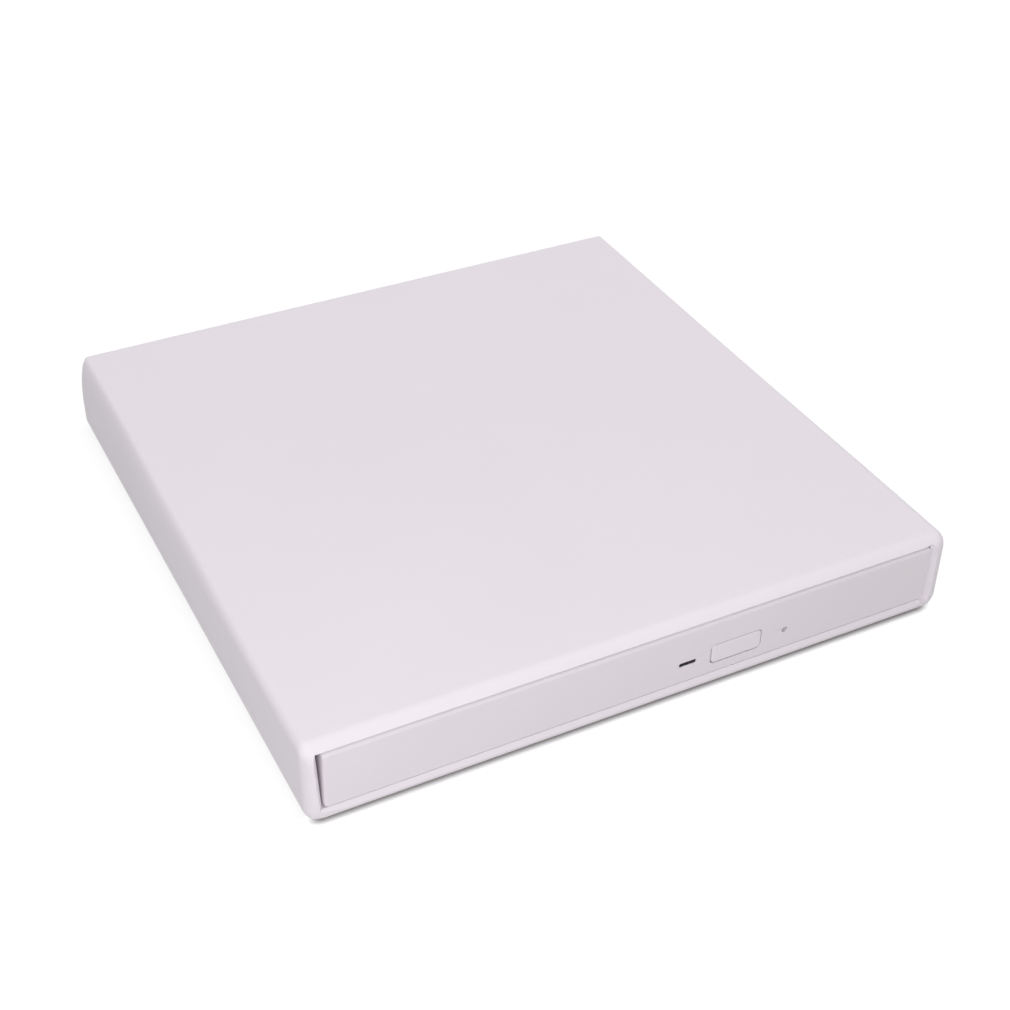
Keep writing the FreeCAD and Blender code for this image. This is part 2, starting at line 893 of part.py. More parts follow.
def tray():
    top = plate(
        x_tray_left, x_tray_right, y_tray_front, y_tray_back, z_under, z_rim, corner_cut
    )
    square_front = box(x_tray_left, x_tray_right, y_tray_front, y_tray_wall + 3, z_under, z_rim)
    arm = box(
        x_tray_right - 1, x_wall - 2.0, y_tray_front, y_tray_wall, z_ledge + 0.3, z_rim
    )
    top = join(top, square_front)
    inset = tray_wall
    pocket = less(
        box(
            x_tray_left + inset,
            x_tray_right - inset,
            y_tray_wall,
            y_tray_back - inset,
            z_under - 1,
            z_rim - rim_skin,
        ),
        disc(x_spindle, y_spindle, z_under - 2, z_rim, pocket_radius),
    )
    well = disc(x_spindle, y_spindle, z_well, z_lid, disc_radius + well_gap)
    small_well = disc(x_spindle, y_spindle, z_well - small_well_depth, z_lid, small_disc_radius + well_gap)
    top = join(less(top, pocket, well, small_well), less(arm, well))
    front = box(x_skirt_left, x_skirt_right, y_tray_front, y_tray_wall, z_mech, z_under + 0.5)
    left = box(
        x_skirt_left, x_skirt_left + tray_wall, y_tray_front, y_skirt_back, z_mech, z_under + 0.5
    )
    right = box(
        x_skirt_right - tray_wall, x_skirt_right, y_tray_front, y_skirt_back, z_mech, z_under + 0.5
    )
    back = box(
        x_skirt_left, x_skirt_right, y_skirt_back - tray_wall, y_skirt_back, z_mech, z_under + 0.5
    )
    beads = []
    for side in (1, -1):
        wall = -x_wall if side > 0 else x_rail_wall
        tip = wall + side * (guide_sheet + rail_gap + 0.1 + rail_sheet + 0.2)
        root = wall + side * (skirt_inset + 0.3)
        x0, x1 = sorted((tip, root))
        beads.append(
            box(
                x0,
                x1,
                y_rail,
                y_skirt_back,
                z_rail - bead_height / 2,
                z_rail + bead_height / 2,
            )
        )
    ejector = box(
        ejector_x - 2.5,
        ejector_x + 2.5,
        y_ejector_block,
        y_tray_back,
        z_ejector - 1.9,
        z_under + 0.5,
    )
    turn = math.radians(travel_angle)
    posts = []
    for u, v in bush_spots():
        x = x_spindle + u * math.cos(turn) - v * math.sin(turn)
        y = y_spindle + u * math.sin(turn) + v * math.cos(turn)
        posts.append(boss(x, y, 0.75))
    bosses = [boss(x, y, 1.8) for x, y in tray_screw_spots]
    body = join(top, front, left, right, back, ejector, *beads, *posts, *bosses)
    cuts = [
        traverse_window(),
        disc(x_spindle, y_spindle, z_mech, z_lid, rotor_opening),
        pin(ejector_x, z_ejector, y_ejector_block + 2.0, y_tray_back + 1, ejector_bore, "y"),
        pin(button_x, z_row, y_tray_front - 1, y_tray_wall + 1, 1.2, "y"),
        pin(pin_x, z_row, y_tray_front - 1, y_tray_wall + 1, 1.2, "y"),
        box(
            lamp_x - lamp_width / 2,
            lamp_x + lamp_width / 2,
            y_tray_front - 1,
            y_tray_wall + 1,
            z_row - lamp_height / 2 - 0.1,
            z_row + lamp_height / 2 + 0.1,
        ),
    ]
    for x in hook_spots:
        cuts.append(box(x - 2.2, x + 2.2, y_tray_front - 1, y_tray_wall + 1, z_hook - 0.2, z_hook + 1.2))
    for x, y in tray_screw_spots:
        cuts.append(pin(x, y, z_mech - 1, z_mech + 2.6, 0.8))
    return less(body, *cuts)


z_hook = z_rim - 2.2


def front_bezel():
    half_low = bezel_half + bezel_flare
    outline = [
        (-half_low, z_bezel),
        (half_low, z_bezel),
        (bezel_half, z_bezel_top),
        (-bezel_half, z_bezel_top),
    ]
    outer = prism(outline, "y", y_bezel, y_bezel_back)
    depth_edges = [
        edge for edge in outer.Edges if abs(edge.Vertexes[0].Y - edge.Vertexes[1].Y) > 1
    ]
    outer = outer.makeFillet(bezel_corner, depth_edges)
    front_edges = [
        edge
        for edge in outer.Edges
        if all(abs(vertex.Y - y_bezel) < 1e-6 for vertex in edge.Vertexes)
    ]
    outer = outer.makeChamfer(bezel_edge, front_edges)
    hollow = box(
        -bezel_half + bezel_rim,
        bezel_half - bezel_rim,
        y_bezel + bezel_plate,
        y_bezel_back + 1,
        z_bezel + bezel_rim,
        z_bezel_top - bezel_rim,
    )
    half_w = button_width / 2 + button_gap
    half_h = button_height / 2 + button_gap
    window = panel(
        button_x - half_w,
        button_x + half_w,
        z_row - half_h,
        z_row + half_h,
        y_bezel - 1,
        y_bezel + bezel_plate + 1,
        button_round + button_gap,
    )
    lamp = box(
        lamp_x - lamp_width / 2,
        lamp_x + lamp_width / 2,
        y_bezel - 1,
        y_bezel + bezel_plate + 1,
        z_row - lamp_height / 2,
        z_row + lamp_height / 2,
    )
    pin_hole = bar_y(pin_x, z_row, y_bezel - 1, y_bezel + bezel_plate + 1, pin_hole_radius)
    hooks = [
        box(x - 2, x + 2, y_bezel + 1, y_tray_wall - 0.4, z_hook, z_hook + 1.0)
        for x in hook_spots
    ]
    return less(join(less(outer, hollow), *hooks), window, lamp, pin_hole)


def light_pipe():
    half = lamp_width / 2 - 0.15
    tall = lamp_height / 2 - 0.05
    bar = box(lamp_x - half, lamp_x + half, y_bezel + 0.5, y_tray_wall + 0.2, z_row - tall, z_row + tall)
    stop = box(
        lamp_x - half - 0.8,
        lamp_x + half + 0.8,
        y_bezel + bezel_plate + 0.05,
        y_bezel + bezel_plate + 0.8,
        z_row - tall - 0.6,
        z_row + tall + 0.6,
    )
    return join(bar, stop)


def eject_button():
    half_w = button_width / 2
    half_h = button_height / 2
    y_flange = y_bezel + bezel_plate + 0.1
    cap = panel(
        button_x - half_w,
        button_x + half_w,
        z_row - half_h,
        z_row + half_h,
        y_bezel - button_proud,
        y_flange + 0.1,
        button_round,
    )
    rim = [
        edge
        for edge in cap.Edges
        if all(abs(vertex.Y - y_bezel + button_proud) < 1e-6 for vertex in edge.Vertexes)
    ]
    cap = cap.makeChamfer(button_edge, rim)
    flange = box(
        button_x - half_w - 0.8,
        button_x + half_w + 0.8,
        y_flange,
        y_flange + 0.7,
        z_row - half_h - 0.8,
        z_row + half_h + 0.8,
    )
    stem = pin(button_x, z_row, y_flange + 0.5, y_plunger, 0.9, "y")
    return join(cap, flange, stem)


y_plunger = y_tray_wall + 1.1


def switch_plunger():
    return pin(button_x, z_row, y_plunger, y_plunger + 1.4, 0.75, "y")


z_front_board = z_under - 1.0


def eject_switch():
    body = box(
        button_x - 2.2, button_x + 2.2, y_plunger + 0.6, y_plunger + 4.4, z_row - 1.8, z_front_board
    )
    bore = pin(button_x, z_row, y_plunger, y_plunger + 1.4 + button_travel + 0.3, 0.85, "y")
    return less(body, bore)


def front_board():
    board = box(
        lamp_x - 4.0, button_x + 6.0, y_tray_wall + 0.4, y_tray_wall + 7.0, z_front_board, z_under - 0.2
    )
    lamp = box(
        lamp_x - 0.8, lamp_x + 0.8, y_tray_wall + 0.5, y_tray_wall + 2.1, z_row - 0.8, z_front_board
    )
    return join(board, lamp)


# Main board on the tray

y_tray_board = y_skirt_back - 23.0
y_socket = y_skirt_back - 5.5
z_socket = z_mech + 0.4
z_tray_board = z_under - 1.0


def main_board():
    return box(
        x_spindle - 36.0,
        x_skirt_right - 6.0,
        y_tray_board,
        y_skirt_back - 2.0,
        z_tray_board,
        z_under - 0.2,
    )


def main_board_chips():
    def chip(x, y, size, tall):
        half = size / 2
        return box(x - half, x + half, y - half, y + half, z_tray_board - tall, z_tray_board)

    return group(
        chip(x_spindle + 28.0, y_tray_board + 9.0, 12.0, 1.4),
        chip(x_spindle - 22.0, y_tray_board + 8.0, 9.0, 1.2),
        chip(x_spindle - 2.0, y_tray_board + 6.0, 6.0, 1.0),
    )


def cable_socket():
    half = ribbon_half + 1.0
    return box(
        ribbon_x - half, ribbon_x + half, y_socket - 1.8, y_socket + 1.6, z_socket, z_tray_board
    )


def tray_cover():
    flat = box(
        x_skirt_left, x_skirt_right, y_tray_front + 0.2, y_skirt_back, z_cover, z_mech
    )
    half = ribbon_half + 0.6
    cuts = [
        box(ribbon_x - half, ribbon_x + half, y_socket - 1.0, y_socket + 0.9, z_cover - 1, z_mech + 1),
        box(
            latch_post_x - prong_radius - 0.4,
            latch_pivot_x + prong_radius + 0.4,
            y_arm - prong_radius - 0.7,
            y_arm + prong_radius + 0.4,
            z_cover - 1,
            z_mech + 1,
        ),
    ]
    for x, y in tray_screw_spots:
        cuts.append(pin(x, y, z_cover - 1, z_mech + 1, 0.85))
    return less(flat, *cuts)


def tray_screws():
    return group(
        *[
            join(pin(x, y, z_cover - 0.45, z_cover, 1.5), pin(x, y, z_cover, z_mech + 2.4, 0.75))
            for x, y in tray_screw_spots
        ]
    )


# Spindle

z_table = z_disc - pad_thickness
z_hub_top = z_lid - 0.55
z_stator = z_frame_top
z_claw = z_disc + disc_thickness + 0.1
sleeve_radius = 2.6
core_radius = 9.5
tooth_count = 9


def spindle_stator():
    base = pin(0, 0, z_stator, z_stator + 0.4, 11.8, sides=turning_sides)
    sleeve = pin(0, 0, z_frame + 0.05, z_stator + 2.8, sleeve_radius, sides=turning_sides)
    teeth = []
    for i in range(tooth_count):
        tooth = box(sleeve_radius - 0.6, core_radius, -1.3, 1.3, z_stator + 0.8, z_stator + 2.2)
        tooth.rotate(Vector(0, 0, 0), Vector(0, 0, 1), i * 360 / tooth_count)
        teeth.append(tooth)
    bore_radius = spindle_shaft_radius + running_gap
    bore = pin(0, 0, z_frame + 0.4, z_stator + 4, bore_radius, sides=turning_sides)
    return on_traverse(less(join(base, sleeve, *teeth), bore))


def turntable():
    z_skirt = z_stator + 0.7
    inner = core_radius + 0.6
    z_inside = z_stator + 3.1
    profile = [
        (0, z_inside),
        (inner, z_inside),
        (inner, z_skirt),
        (turntable_radius, z_skirt),
        (turntable_radius, z_table),
        (0, z_table),
    ]
    low = z_frame + 0.45
    high = z_inside + 0.5
    shaft = pin(x_spindle, y_spindle, low, high, spindle_shaft_radius, sides=turning_sides)
    return join(turned(profile, x_spindle, y_spindle), shaft)


def turntable_pad():
    return less(
        disc(x_spindle, y_spindle, z_table, z_disc, turntable_radius - 0.4),
        disc(x_spindle, y_spindle, z_table - 1, z_disc + 1, pad_inner),
    )


def claw_angle(i):
    return 90.0 + i * 360.0 / claw_count


def disc_hub():
    profile = [
        (0, z_table),
        (pad_inner - 0.1, z_table),
        (pad_inner - 0.1, z_disc),
        (hub_radius, z_disc),
        (hub_radius, z_disc + disc_thickness),
        (hub_radius - hub_taper, z_hub_top),
        (0, z_hub_top),
    ]
    hub = turned(profile, 0, 0)
    slots = []
    for i in range(claw_count):
        slot = box(
            hub_radius - claw_length - claw_travel - 0.2,
            hub_radius + 1,
            -claw_width / 2 - 0.1,
            claw_width / 2 + 0.1,
            z_claw - 0.1,
            z_claw + claw_height + 0.1,
        )
        slot.rotate(Vector(0, 0, 0), Vector(0, 0, 1), claw_angle(i))
        slots.append(slot)
    hub = less(hub, *slots)
    hub.translate(Vector(x_spindle, y_spindle, 0))
    return hub


def hub_claw(i):
    """A spring claw that holds the disc down; its tip slopes so that a disc pushes it in."""
    tip = hub_radius + claw_reach
    outline = [
        (hub_radius - claw_length, z_claw),
        (tip - 0.15, z_claw),
        (tip, z_claw + 0.15),
        (tip - 0.35, z_claw + claw_height),
        (hub_radius - claw_length, z_claw + claw_height),
    ]
    claw = prism(outline, "y", -claw_width / 2, claw_width / 2)
    claw.rotate(Vector(0, 0, 0), Vector(0, 0, 1), claw_angle(i))
    claw.translate(Vector(x_spindle, y_spindle, 0))
    return claw


# Pickup traverse

block_half = 1.6


def traverse_frame():
    half = frame_half_width
    flat = box(-14.2, frame_end, -half, half, z_frame, z_frame_top)
    corners = [
        edge for edge in along(flat, "z") if edge.Vertexes[0].X > 0
    ]
    flat = flat.makeChamfer(5.0, corners)
    z_flange = z_frame + 3.2
    flanges = [
        box(16.0, frame_end - 6.0, sv * half - 0.4 * (1 + sv), sv * half + 0.4 * (1 - sv), z_frame, z_flange)
        for sv in (-1, 1)
    ]
    ears = [pin(u, v, z_frame, z_frame_top, 2.8) for u, v in bush_spots()]
    blocks = []
    for u in (window_start - 2.2, window_end):
        for sv in (-1, 1):
            v = sv * shaft_spread
            blocks.append(box(u, u + 2.0, v - block_half, v + block_half, z_frame, z_under + 0.1))
    screw_tab = box(
        window_end - 2.4, window_end - 1.4, screw_offset - 1.4, half, z_frame, z_screw + 1.5
    )
    motor_tab = box(motor_end, motor_end + 0.5, screw_offset - 1.8, half, z_frame, z_screw + 1.7)
    frame = join(flat, *flanges, *ears, *blocks, screw_tab, motor_tab)
    cuts = [
        box(window_start, window_end, -15.6, 15.6, z_frame - 1, z_frame_top + 0.01),
        disc(0, 0, z_frame - 1, z_frame_top + 1, 9.0),
        box(-15, motor_end, screw_offset - 2.3, half + 1, z_frame - 1, z_flange + 1),
    ]
    notch = shaft_radius + 0.02
    for sv in (-1, 1):
        v = sv * shaft_spread
        cuts.append(
            box(window_start - 3, frame_end + 3, v - notch, v + notch, z_shaft - notch, z_under + 1)
        )
    for u, v in bush_spots():
        cuts.append(pin(u, v, z_frame - 1, z_frame_top + 1, 1.55))
    screw_hole = screw_radius + running_gap
    hole_end = motor_end - 1
    cuts.append(pin(screw_offset, z_screw, hole_end, window_end, screw_hole, "x", turning_sides))
    return on_traverse(less(frame, *cuts))


motor_end = 12.1


def guide_shafts():
    return group(
        *[
            on_traverse(
                bar_x(window_start - 2.2, window_end + 2.0, sv * shaft_spread, z_shaft, shaft_radius)
            )
            for sv in (-1, 1)
        ]
    )


def sled_motor():
    screw_hole = screw_radius + running_gap
    return on_traverse(
        less(
            bar_x(motor_end - motor_length, motor_end, screw_offset, z_screw, motor_radius),
            pin(screw_offset, z_screw, motor_end - 2.2, motor_end + 1, screw_hole, "x", turning_sides),
        )
    )


def lead_screw():
    end = window_end - 1.4
    return on_traverse(
        pin(screw_offset, z_screw, motor_end - 2.0, end, screw_radius, "x", turning_sides)
    )


def damper_bushes():
    """Rubber bushes in the holes of the ears, each with a flange above, on the tray's posts."""
    low = z_frame - 0.2
    high = z_frame_top + 0.9
    bushes = []
    for u, v in bush_spots():
        body = join(pin(u, v, low, high, 1.5), pin(u, v, z_frame_top + 0.02, high, 2.2))
        bushes.append(on_traverse(less(body, pin(u, v, low - 1, high + 1, 0.8))))
    return group(*bushes)


z_shield = z_under + 0.1
shield_relief = 0.4


def pickup_shield():
    flat = box(window_start - 1.4, window_end + 0.4, -14.4, 14.4, z_shield, z_shield + 0.3)
    slot = plate(
        lens_inner - 5.4, lens_outer + 5.4, -4.9, 4.9, z_shield - 1, z_shield + 1, 2.0
    )
    return on_traverse(less(flat, slot, disc(0, 0, z_shield - 1, z_shield + 1, rotor_opening)))


lens_half = 3.6
z_sled = z_mech + 0.45
z_sled_top = z_under - 0.2
z_lens_seat = z_sled_top - 1.9


def pickup_body():
    block = box(
        lens_inner - sled_half,
        lens_inner + sled_half,
        -sled_half_width,
        sled_half_width,
        z_sled,
        z_sled_top,
    )
    block = block.makeChamfer(2.0, along(block, "z"))
    arms = []
    for sv in (-1, 1):
        v0, v1 = sorted((sv * (sled_half_width - 1), sv * (shaft_spread + 2.0)))
        arms.append(box(lens_inner - 5, lens_inner + 5, v0, v1, z_shaft - 1.5, z_shaft + 1.3))
    body = join(block, *arms)
    u0 = lens_inner - sled_half - 1
    u1 = lens_inner + sled_half + 1
    bore = shaft_radius + running_gap
    seat = lens_half + 0.7
    cuts = [
        bar_x(u0, u1, shaft_spread, z_shaft, bore),
        box(u0, u1, -shaft_spread - 3, -shaft_spread + bore, z_shaft - bore, z_shaft + bore),
        box(lens_inner - seat, lens_inner + seat, -seat, seat, z_lens_seat, z_sled_top + 1),
    ]
    return on_traverse(less(body, *cuts))


def rack_arm():
    v_arm = shaft_spread + 2.0
    base = box(lens_inner - 3, lens_inner + 3, 11.4, v_arm, z_shaft + 1.3, z_shaft + 1.75)
    nut = box(
        lens_inner - 3,
        lens_inner + 3,
        v_arm,
        screw_offset + 1.0,
        z_screw + screw_radius + running_gap,
        z_shaft + 1.75,
    )
    return on_traverse(join(base, nut))


def lens_holder():
    z0 = z_sled_top - 1.15
    z1 = z_shield + shield_relief - focus_travel - 0.05
    block = box(lens_inner - lens_half, lens_inner + lens_half, -lens_half, lens_half, z0, z1)
    block = block.makeChamfer(1.2, along(block, "z"))
    return on_traverse(less(block, disc(lens_inner, 0, z0 - 1, z1 + 1, lens_radius + 0.02)))


def objective_lens():
    return on_traverse(disc(lens_inner, 0, z_sled_top - 0.4, z_well - 0.35, lens_radius))


# Latch and ejector


def latch_lever():
    tip = (pin_x, y_latch - 4.3)
    pivot = (latch_pivot_x, y_latch)
    front = capsule(tip, pivot, latch_width, z_lever, z_lever + 1.0)
    back = capsule(pivot, (latch_pivot_x, y_arm), latch_width, z_lever, z_lever + 1.0)
    boss = pin(latch_pivot_x, y_latch, z_lever - 0.4, z_lever + 1.4, 2.2)
    prong = pin(latch_pivot_x, y_arm, z_floor + 0.35, z_lever + 0.5, prong_radius)
    bore = disc(latch_pivot_x, y_latch, z_lever - 2, z_lever + 3, latch_pin_radius + running_gap)
    return less(join(front, back, boss, prong), bore)


def latch_pin():
    return disc(latch_pivot_x, y_latch, z_mech, z_under, latch_pin_radius)


z_solenoid = z_lever + 0.5
y_solenoid = y_latch + solenoid_arm
x_solenoid = latch_pivot_x + 3.0
x_plunger = latch_pivot_x + latch_width / 2 + 0.2


def solenoid():
    body = box(
        x_solenoid,
        x_skirt_right - tray_wall - 0.2,
        y_solenoid - 3.3,
        y_solenoid + 3.3,
        z_mech + 0.3,
        z_under - 0.1,
    )
    bore = pin(y_solenoid, z_solenoid, x_solenoid - 1, x_solenoid + 5.0, 1.25, "x")
    return less(body, bore)


def solenoid_plunger():
    return pin(y_solenoid, z_solenoid, x_plunger, x_solenoid + 4.6, 1.2, "x")


y_ejector_spring = y_ejector_block + 2.2
y_ejector_rod = y_tray_back - 19.0


def ejector_plunger():
    return pin(ejector_x, z_ejector, y_ejector_rod, y_wall - 0.2, ejector_radius, "y")


def ejector_spring():
    return less(
        pin(ejector_x, z_ejector, y_ejector_spring, y_ejector_rod - 0.1, 1.15, "y"),
        pin(ejector_x, z_ejector, y_ejector_spring - 1, y_ejector_rod + 1, 0.8, "y"),
    )


nodes = {
    "top_cover": top_cover,
    "bottom_plate": bottom_plate,
    "rubber_feet": rubber_feet,
    "case_screws": case_screws,
    "drive_screws": drive_screws,
    "bridge_board": bridge_board,
    "bridge_chips": bridge_chips,
    "bridge_capacitors": bridge_capacitors,
    "usb_socket_shell": usb_socket_shell,
    "usb_socket_tongue": usb_socket_tongue,
    "power_jack": power_jack,
    "bridge_connector": bridge_connector,
    "drive_chassis": drive_chassis,
    "drive_lid": drive_lid,
    "lid_screws": lid_screws,
    "connector_board": connector_board,
    "drive_connector": drive_connector,
    "flex_cable": flex_cable,
    "latch_post": latch_post,
    "left_rail_guide": lambda: rail_guide(1),
    "right_rail_guide": lambda: rail_guide(-1),
    "left_slide_rail": lambda: slide_rail(1),
    "right_slide_rail": lambda: slide_rail(-1),
    "tray": tray,
    "front_bezel": front_bezel,
    "light_pipe": light_pipe,
    "eject_button": eject_button,
    "switch_plunger": switch_plunger,
    "eject_switch": eject_switch,
    "front_board": front_board,
    "main_board": main_board,
    "main_board_chips": main_board_chips,
    "cable_socket": cable_socket,
    "tray_cover": tray_cover,
    "tray_screws": tray_screws,
    "spindle_stator": spindle_stator,
    "turntable": turntable,
    "turntable_pad": turntable_pad,
    "disc_hub": disc_hub,
    "traverse_frame": traverse_frame,
    "guide_shafts": guide_shafts,
    "sled_motor": sled_motor,
    "lead_screw": lead_screw,
    "damper_bushes": damper_bushes,
    "pickup_shield": pickup_shield,
    "pickup_body": pickup_body,
    "rack_arm": rack_arm,
    "lens_holder": lens_holder,
    "objective_lens": objective_lens,
    "latch_lever": latch_lever,
    "latch_pin": latch_pin,
    "solenoid": solenoid,
    "solenoid_plunger": solenoid_plunger,
    "ejector_plunger": ejector_plunger,
    "ejector_spring": ejector_spring,
}
for i in range(claw_count):
    nodes["hub_claw_%d" % (i + 1)] = lambda i=i: hub_claw(i)

for name, make in nodes.items():
    shape = make()
    if not shape.isValid():
        print("not valid:", name)
    shape.exportStep("parts/%s.step" % name)
print(len(nodes), "nodes")
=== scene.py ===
import json
import math

import bmesh
import bpy
from mathutils import Matrix, Vector

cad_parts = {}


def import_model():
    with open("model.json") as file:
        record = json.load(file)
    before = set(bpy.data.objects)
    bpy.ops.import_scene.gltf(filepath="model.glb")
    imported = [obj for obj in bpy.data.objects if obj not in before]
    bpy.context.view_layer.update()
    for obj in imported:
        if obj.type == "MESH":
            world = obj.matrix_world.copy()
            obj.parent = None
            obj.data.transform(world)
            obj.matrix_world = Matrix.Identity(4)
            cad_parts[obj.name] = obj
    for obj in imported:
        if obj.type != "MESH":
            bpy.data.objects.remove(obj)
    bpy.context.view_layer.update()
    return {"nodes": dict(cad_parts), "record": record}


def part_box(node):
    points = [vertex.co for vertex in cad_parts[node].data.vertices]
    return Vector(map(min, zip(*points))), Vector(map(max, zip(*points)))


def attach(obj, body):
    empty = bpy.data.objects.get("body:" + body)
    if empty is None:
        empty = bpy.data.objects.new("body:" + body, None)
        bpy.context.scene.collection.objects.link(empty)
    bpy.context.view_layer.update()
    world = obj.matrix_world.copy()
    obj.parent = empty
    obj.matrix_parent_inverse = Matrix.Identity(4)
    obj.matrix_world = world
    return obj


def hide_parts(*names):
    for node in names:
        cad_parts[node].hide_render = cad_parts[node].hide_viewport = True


# External disc drive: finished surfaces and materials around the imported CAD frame.
# The scene is in metres. Shapes are written in millimetres, and vertices() converts them.
# The front faces -Y, X runs to the right, Z is up.

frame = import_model()
nodes = frame["nodes"]
body_of_node = {n: b for b, ns in frame["record"]["behaviour"]["bodies"].items() for n in ns}
slot_of_node = {p["node"]: p["material_slot"] for p in frame["record"]["subparts"]}
scene = bpy.context.scene
mm = 0.001
weld = 1e-7  # corners of cut meshes nearer than this are one, in metres
cad_weld = 2e-6  # the same for corners of CAD triangles
crease_angle = math.radians(32.0)  # shading is smooth across edges below this angle
bevel_angle = math.radians(35.0)  # edges of CAD nodes above this angle are rounded


# Small mesh tools


def vertices(mesh, points):
    """New vertices at points in millimetres."""
    return [mesh.verts.new((x * mm, y * mm, z * mm)) for x, y, z in points]


def rounded(cx, cz, width, height, radius, steps=6):
    """Points of a rounded rectangle, anticlockwise from its right edge."""
    least = 1e-7  # a sharp corner keeps its number of points
    radius = max(min(radius, width / 2, height / 2), least)
    points = []
    for quarter, (sx, sz) in enumerate(((1, 1), (-1, 1), (-1, -1), (1, -1))):
        ox = cx + sx * (width / 2 - radius)
        oz = cz + sz * (height / 2 - radius)
        for i in range(steps + 1):
            t = math.pi / 2 * (quarter + i / steps)
            points.append((ox + radius * math.cos(t), oz + radius * math.sin(t)))
    return points


def filleted(corners, radius):
    """Points round a convex outline, anticlockwise, with its corners rounded."""
    steps = 8
    points = []
    count = len(corners)
    for i, corner in enumerate(corners):
        here = Vector(corner)
        back = (Vector(corners[i - 1]) - here).normalized()
        ahead = (Vector(corners[(i + 1) % count]) - here).normalized()
        half = math.acos(max(-1, min(1, back.dot(ahead)))) / 2
        middle = here + (back + ahead).normalized() * (radius / math.sin(half))
        start = here + back * (radius / math.tan(half)) - middle
        sweep = math.pi - 2 * half
        for k in range(steps + 1):
            t = sweep * k / steps
            x = start.x * math.cos(t) - start.y * math.sin(t)
            y = start.x * math.sin(t) + start.y * math.cos(t)
            points.append(tuple(middle + Vector((x, y))))
    return points


def circle(cx, cz, radius, count):
    turns = [2 * math.pi * i / count for i in range(count)]
    return [(cx + radius * math.cos(t), cz + radius * math.sin(t)) for t in turns]


def ring(mesh, points, y):
    """A closed ring of vertices in a plane across Y."""
    return vertices(mesh, [(x, y, z) for x, z in points])


def bridge(mesh, a, b):
    """Join two rings that match point for point."""
    for i in range(len(a)):
        j = (i + 1) % len(a)
        mesh.faces.new((a[i], a[j], b[j], b[i]))


def join_rings(mesh, rings):
    for a, b in zip(rings, rings[1:]):
        bridge(mesh, a, b)


def fill_between(mesh, rings):
    """Fill the flat area inside the first ring and outside the others."""
    edges = []
    for loop in rings:
        for i, vert in enumerate(loop):
            pair = (vert, loop[(i + 1) % len(loop)])
            edges.append(mesh.edges.get(pair) or mesh.edges.new(pair))
    bmesh.ops.triangle_fill(mesh, edges=edges, use_beauty=True)


def to_object(mesh, name):
    """Make an object of a bmesh, smooth except at its creases."""
    bmesh.ops.recalc_face_normals(mesh, faces=mesh.faces)
    for face in mesh.faces:
        face.smooth = True
    for edge in mesh.edges:
        edge.smooth = len(edge.link_faces) != 2 or edge.calc_face_angle(0) < crease_angle
    data = bpy.data.meshes.new(name)
    mesh.to_mesh(data)
    mesh.free()
    piece = bpy.data.objects.new(name, data)
    scene.collection.objects.link(piece)
    return piece


def weigh_normals(piece):
    """Keep flat faces flat where they meet small rounds."""
    modifier = piece.modifiers.new("normals", "WEIGHTED_NORMAL")
    modifier.keep_sharp = True
    modifier.weight = 100


def cut(piece, cutters, name):
    """Subtract closed meshes from a piece and return the result as a new object."""
    for cutter in cutters:
        modifier = piece.modifiers.new("cut", "BOOLEAN")
        modifier.operation = "DIFFERENCE"
        modifier.solver = "EXACT"
        modifier.object = cutter
    bpy.context.view_layer.update()
    evaluated = piece.evaluated_get(bpy.context.evaluated_depsgraph_get())
    shaped = bpy.data.meshes.new_from_object(evaluated)
    for used in [piece] + list(cutters):
        bpy.data.objects.remove(used)
    mesh = bmesh.new()
    mesh.from_mesh(shaped)
    bmesh.ops.remove_doubles(mesh, verts=mesh.verts, dist=weld)
    bmesh.ops.dissolve_degenerate(mesh, edges=mesh.edges, dist=weld)
    return to_object(mesh, name)


def loft(loops, name):
    """A closed mesh through rings given as (points, y), capped at both ends."""
    mesh = bmesh.new()
    rings = [ring(mesh, points, y) for points, y in loops]
    join_rings(mesh, rings)
    mesh.faces.new(rings[0])
    mesh.faces.new(list(reversed(rings[-1])))
    return to_object(mesh, name)


def cutter_through(mesh, rings, name):
    """A closed cutter through rings of vertices, in triangles because its rings aren't flat."""
    join_rings(mesh, rings)
    mesh.faces.new(rings[0])
    mesh.faces.new(rings[-1])
    bmesh.ops.triangulate(mesh, faces=mesh.faces)
    return to_object(mesh, name)


def block(x0, x1, y0, y1, z0, z1):
    """A closed box mesh, for cutting and for thin strips."""
    return loft([([(x1, z1), (x0, z1), (x0, z0), (x1, z0)], y) for y in (y0, y1)], "block")


def turned(profile, x, y, name, count):
    """Revolve (radius, height) points about an upright axis; a radius of 0 closes the end."""
    mesh = bmesh.new()
    rings = []
    for radius, height in profile:
        around = circle(x, y, radius, count) if radius > 0 else [(x, y)]
        rings.append(vertices(mesh, [(px, py, height) for px, py in around]))
    for a, b in zip(rings, rings[1:]):
        if len(a) == 1 or len(b) == 1:
            tip, loop = (a[0], b) if len(a) == 1 else (b[0], a)
            for i in range(count):
                mesh.faces.new((loop[i], loop[(i + 1) % count], tip))
        else:
            bridge(mesh, a, b)
    if len(rings[0]) > 1:
        bridge(mesh, rings[-1], rings[0])
    return to_object(mesh, name)


def arc(radius, steps):
    """(inset, depth) pairs round a corner of that radius, from its side to its face."""
    turns = [math.radians(90.0 * i / steps) for i in range(steps + 1)]
    return [(radius * (1 - math.cos(t)), radius * (1 - math.sin(t))) for t in turns]


def solid_of(node):
    """A bmesh of a CAD node in the shared frame, with its triangles' corners merged."""
    mesh = bmesh.new()
    mesh.from_mesh(nodes[node].data)
    mesh.transform(nodes[node].matrix_world)
    bmesh.ops.remove_doubles(mesh, verts=mesh.verts, dist=cad_weld)
    return mesh


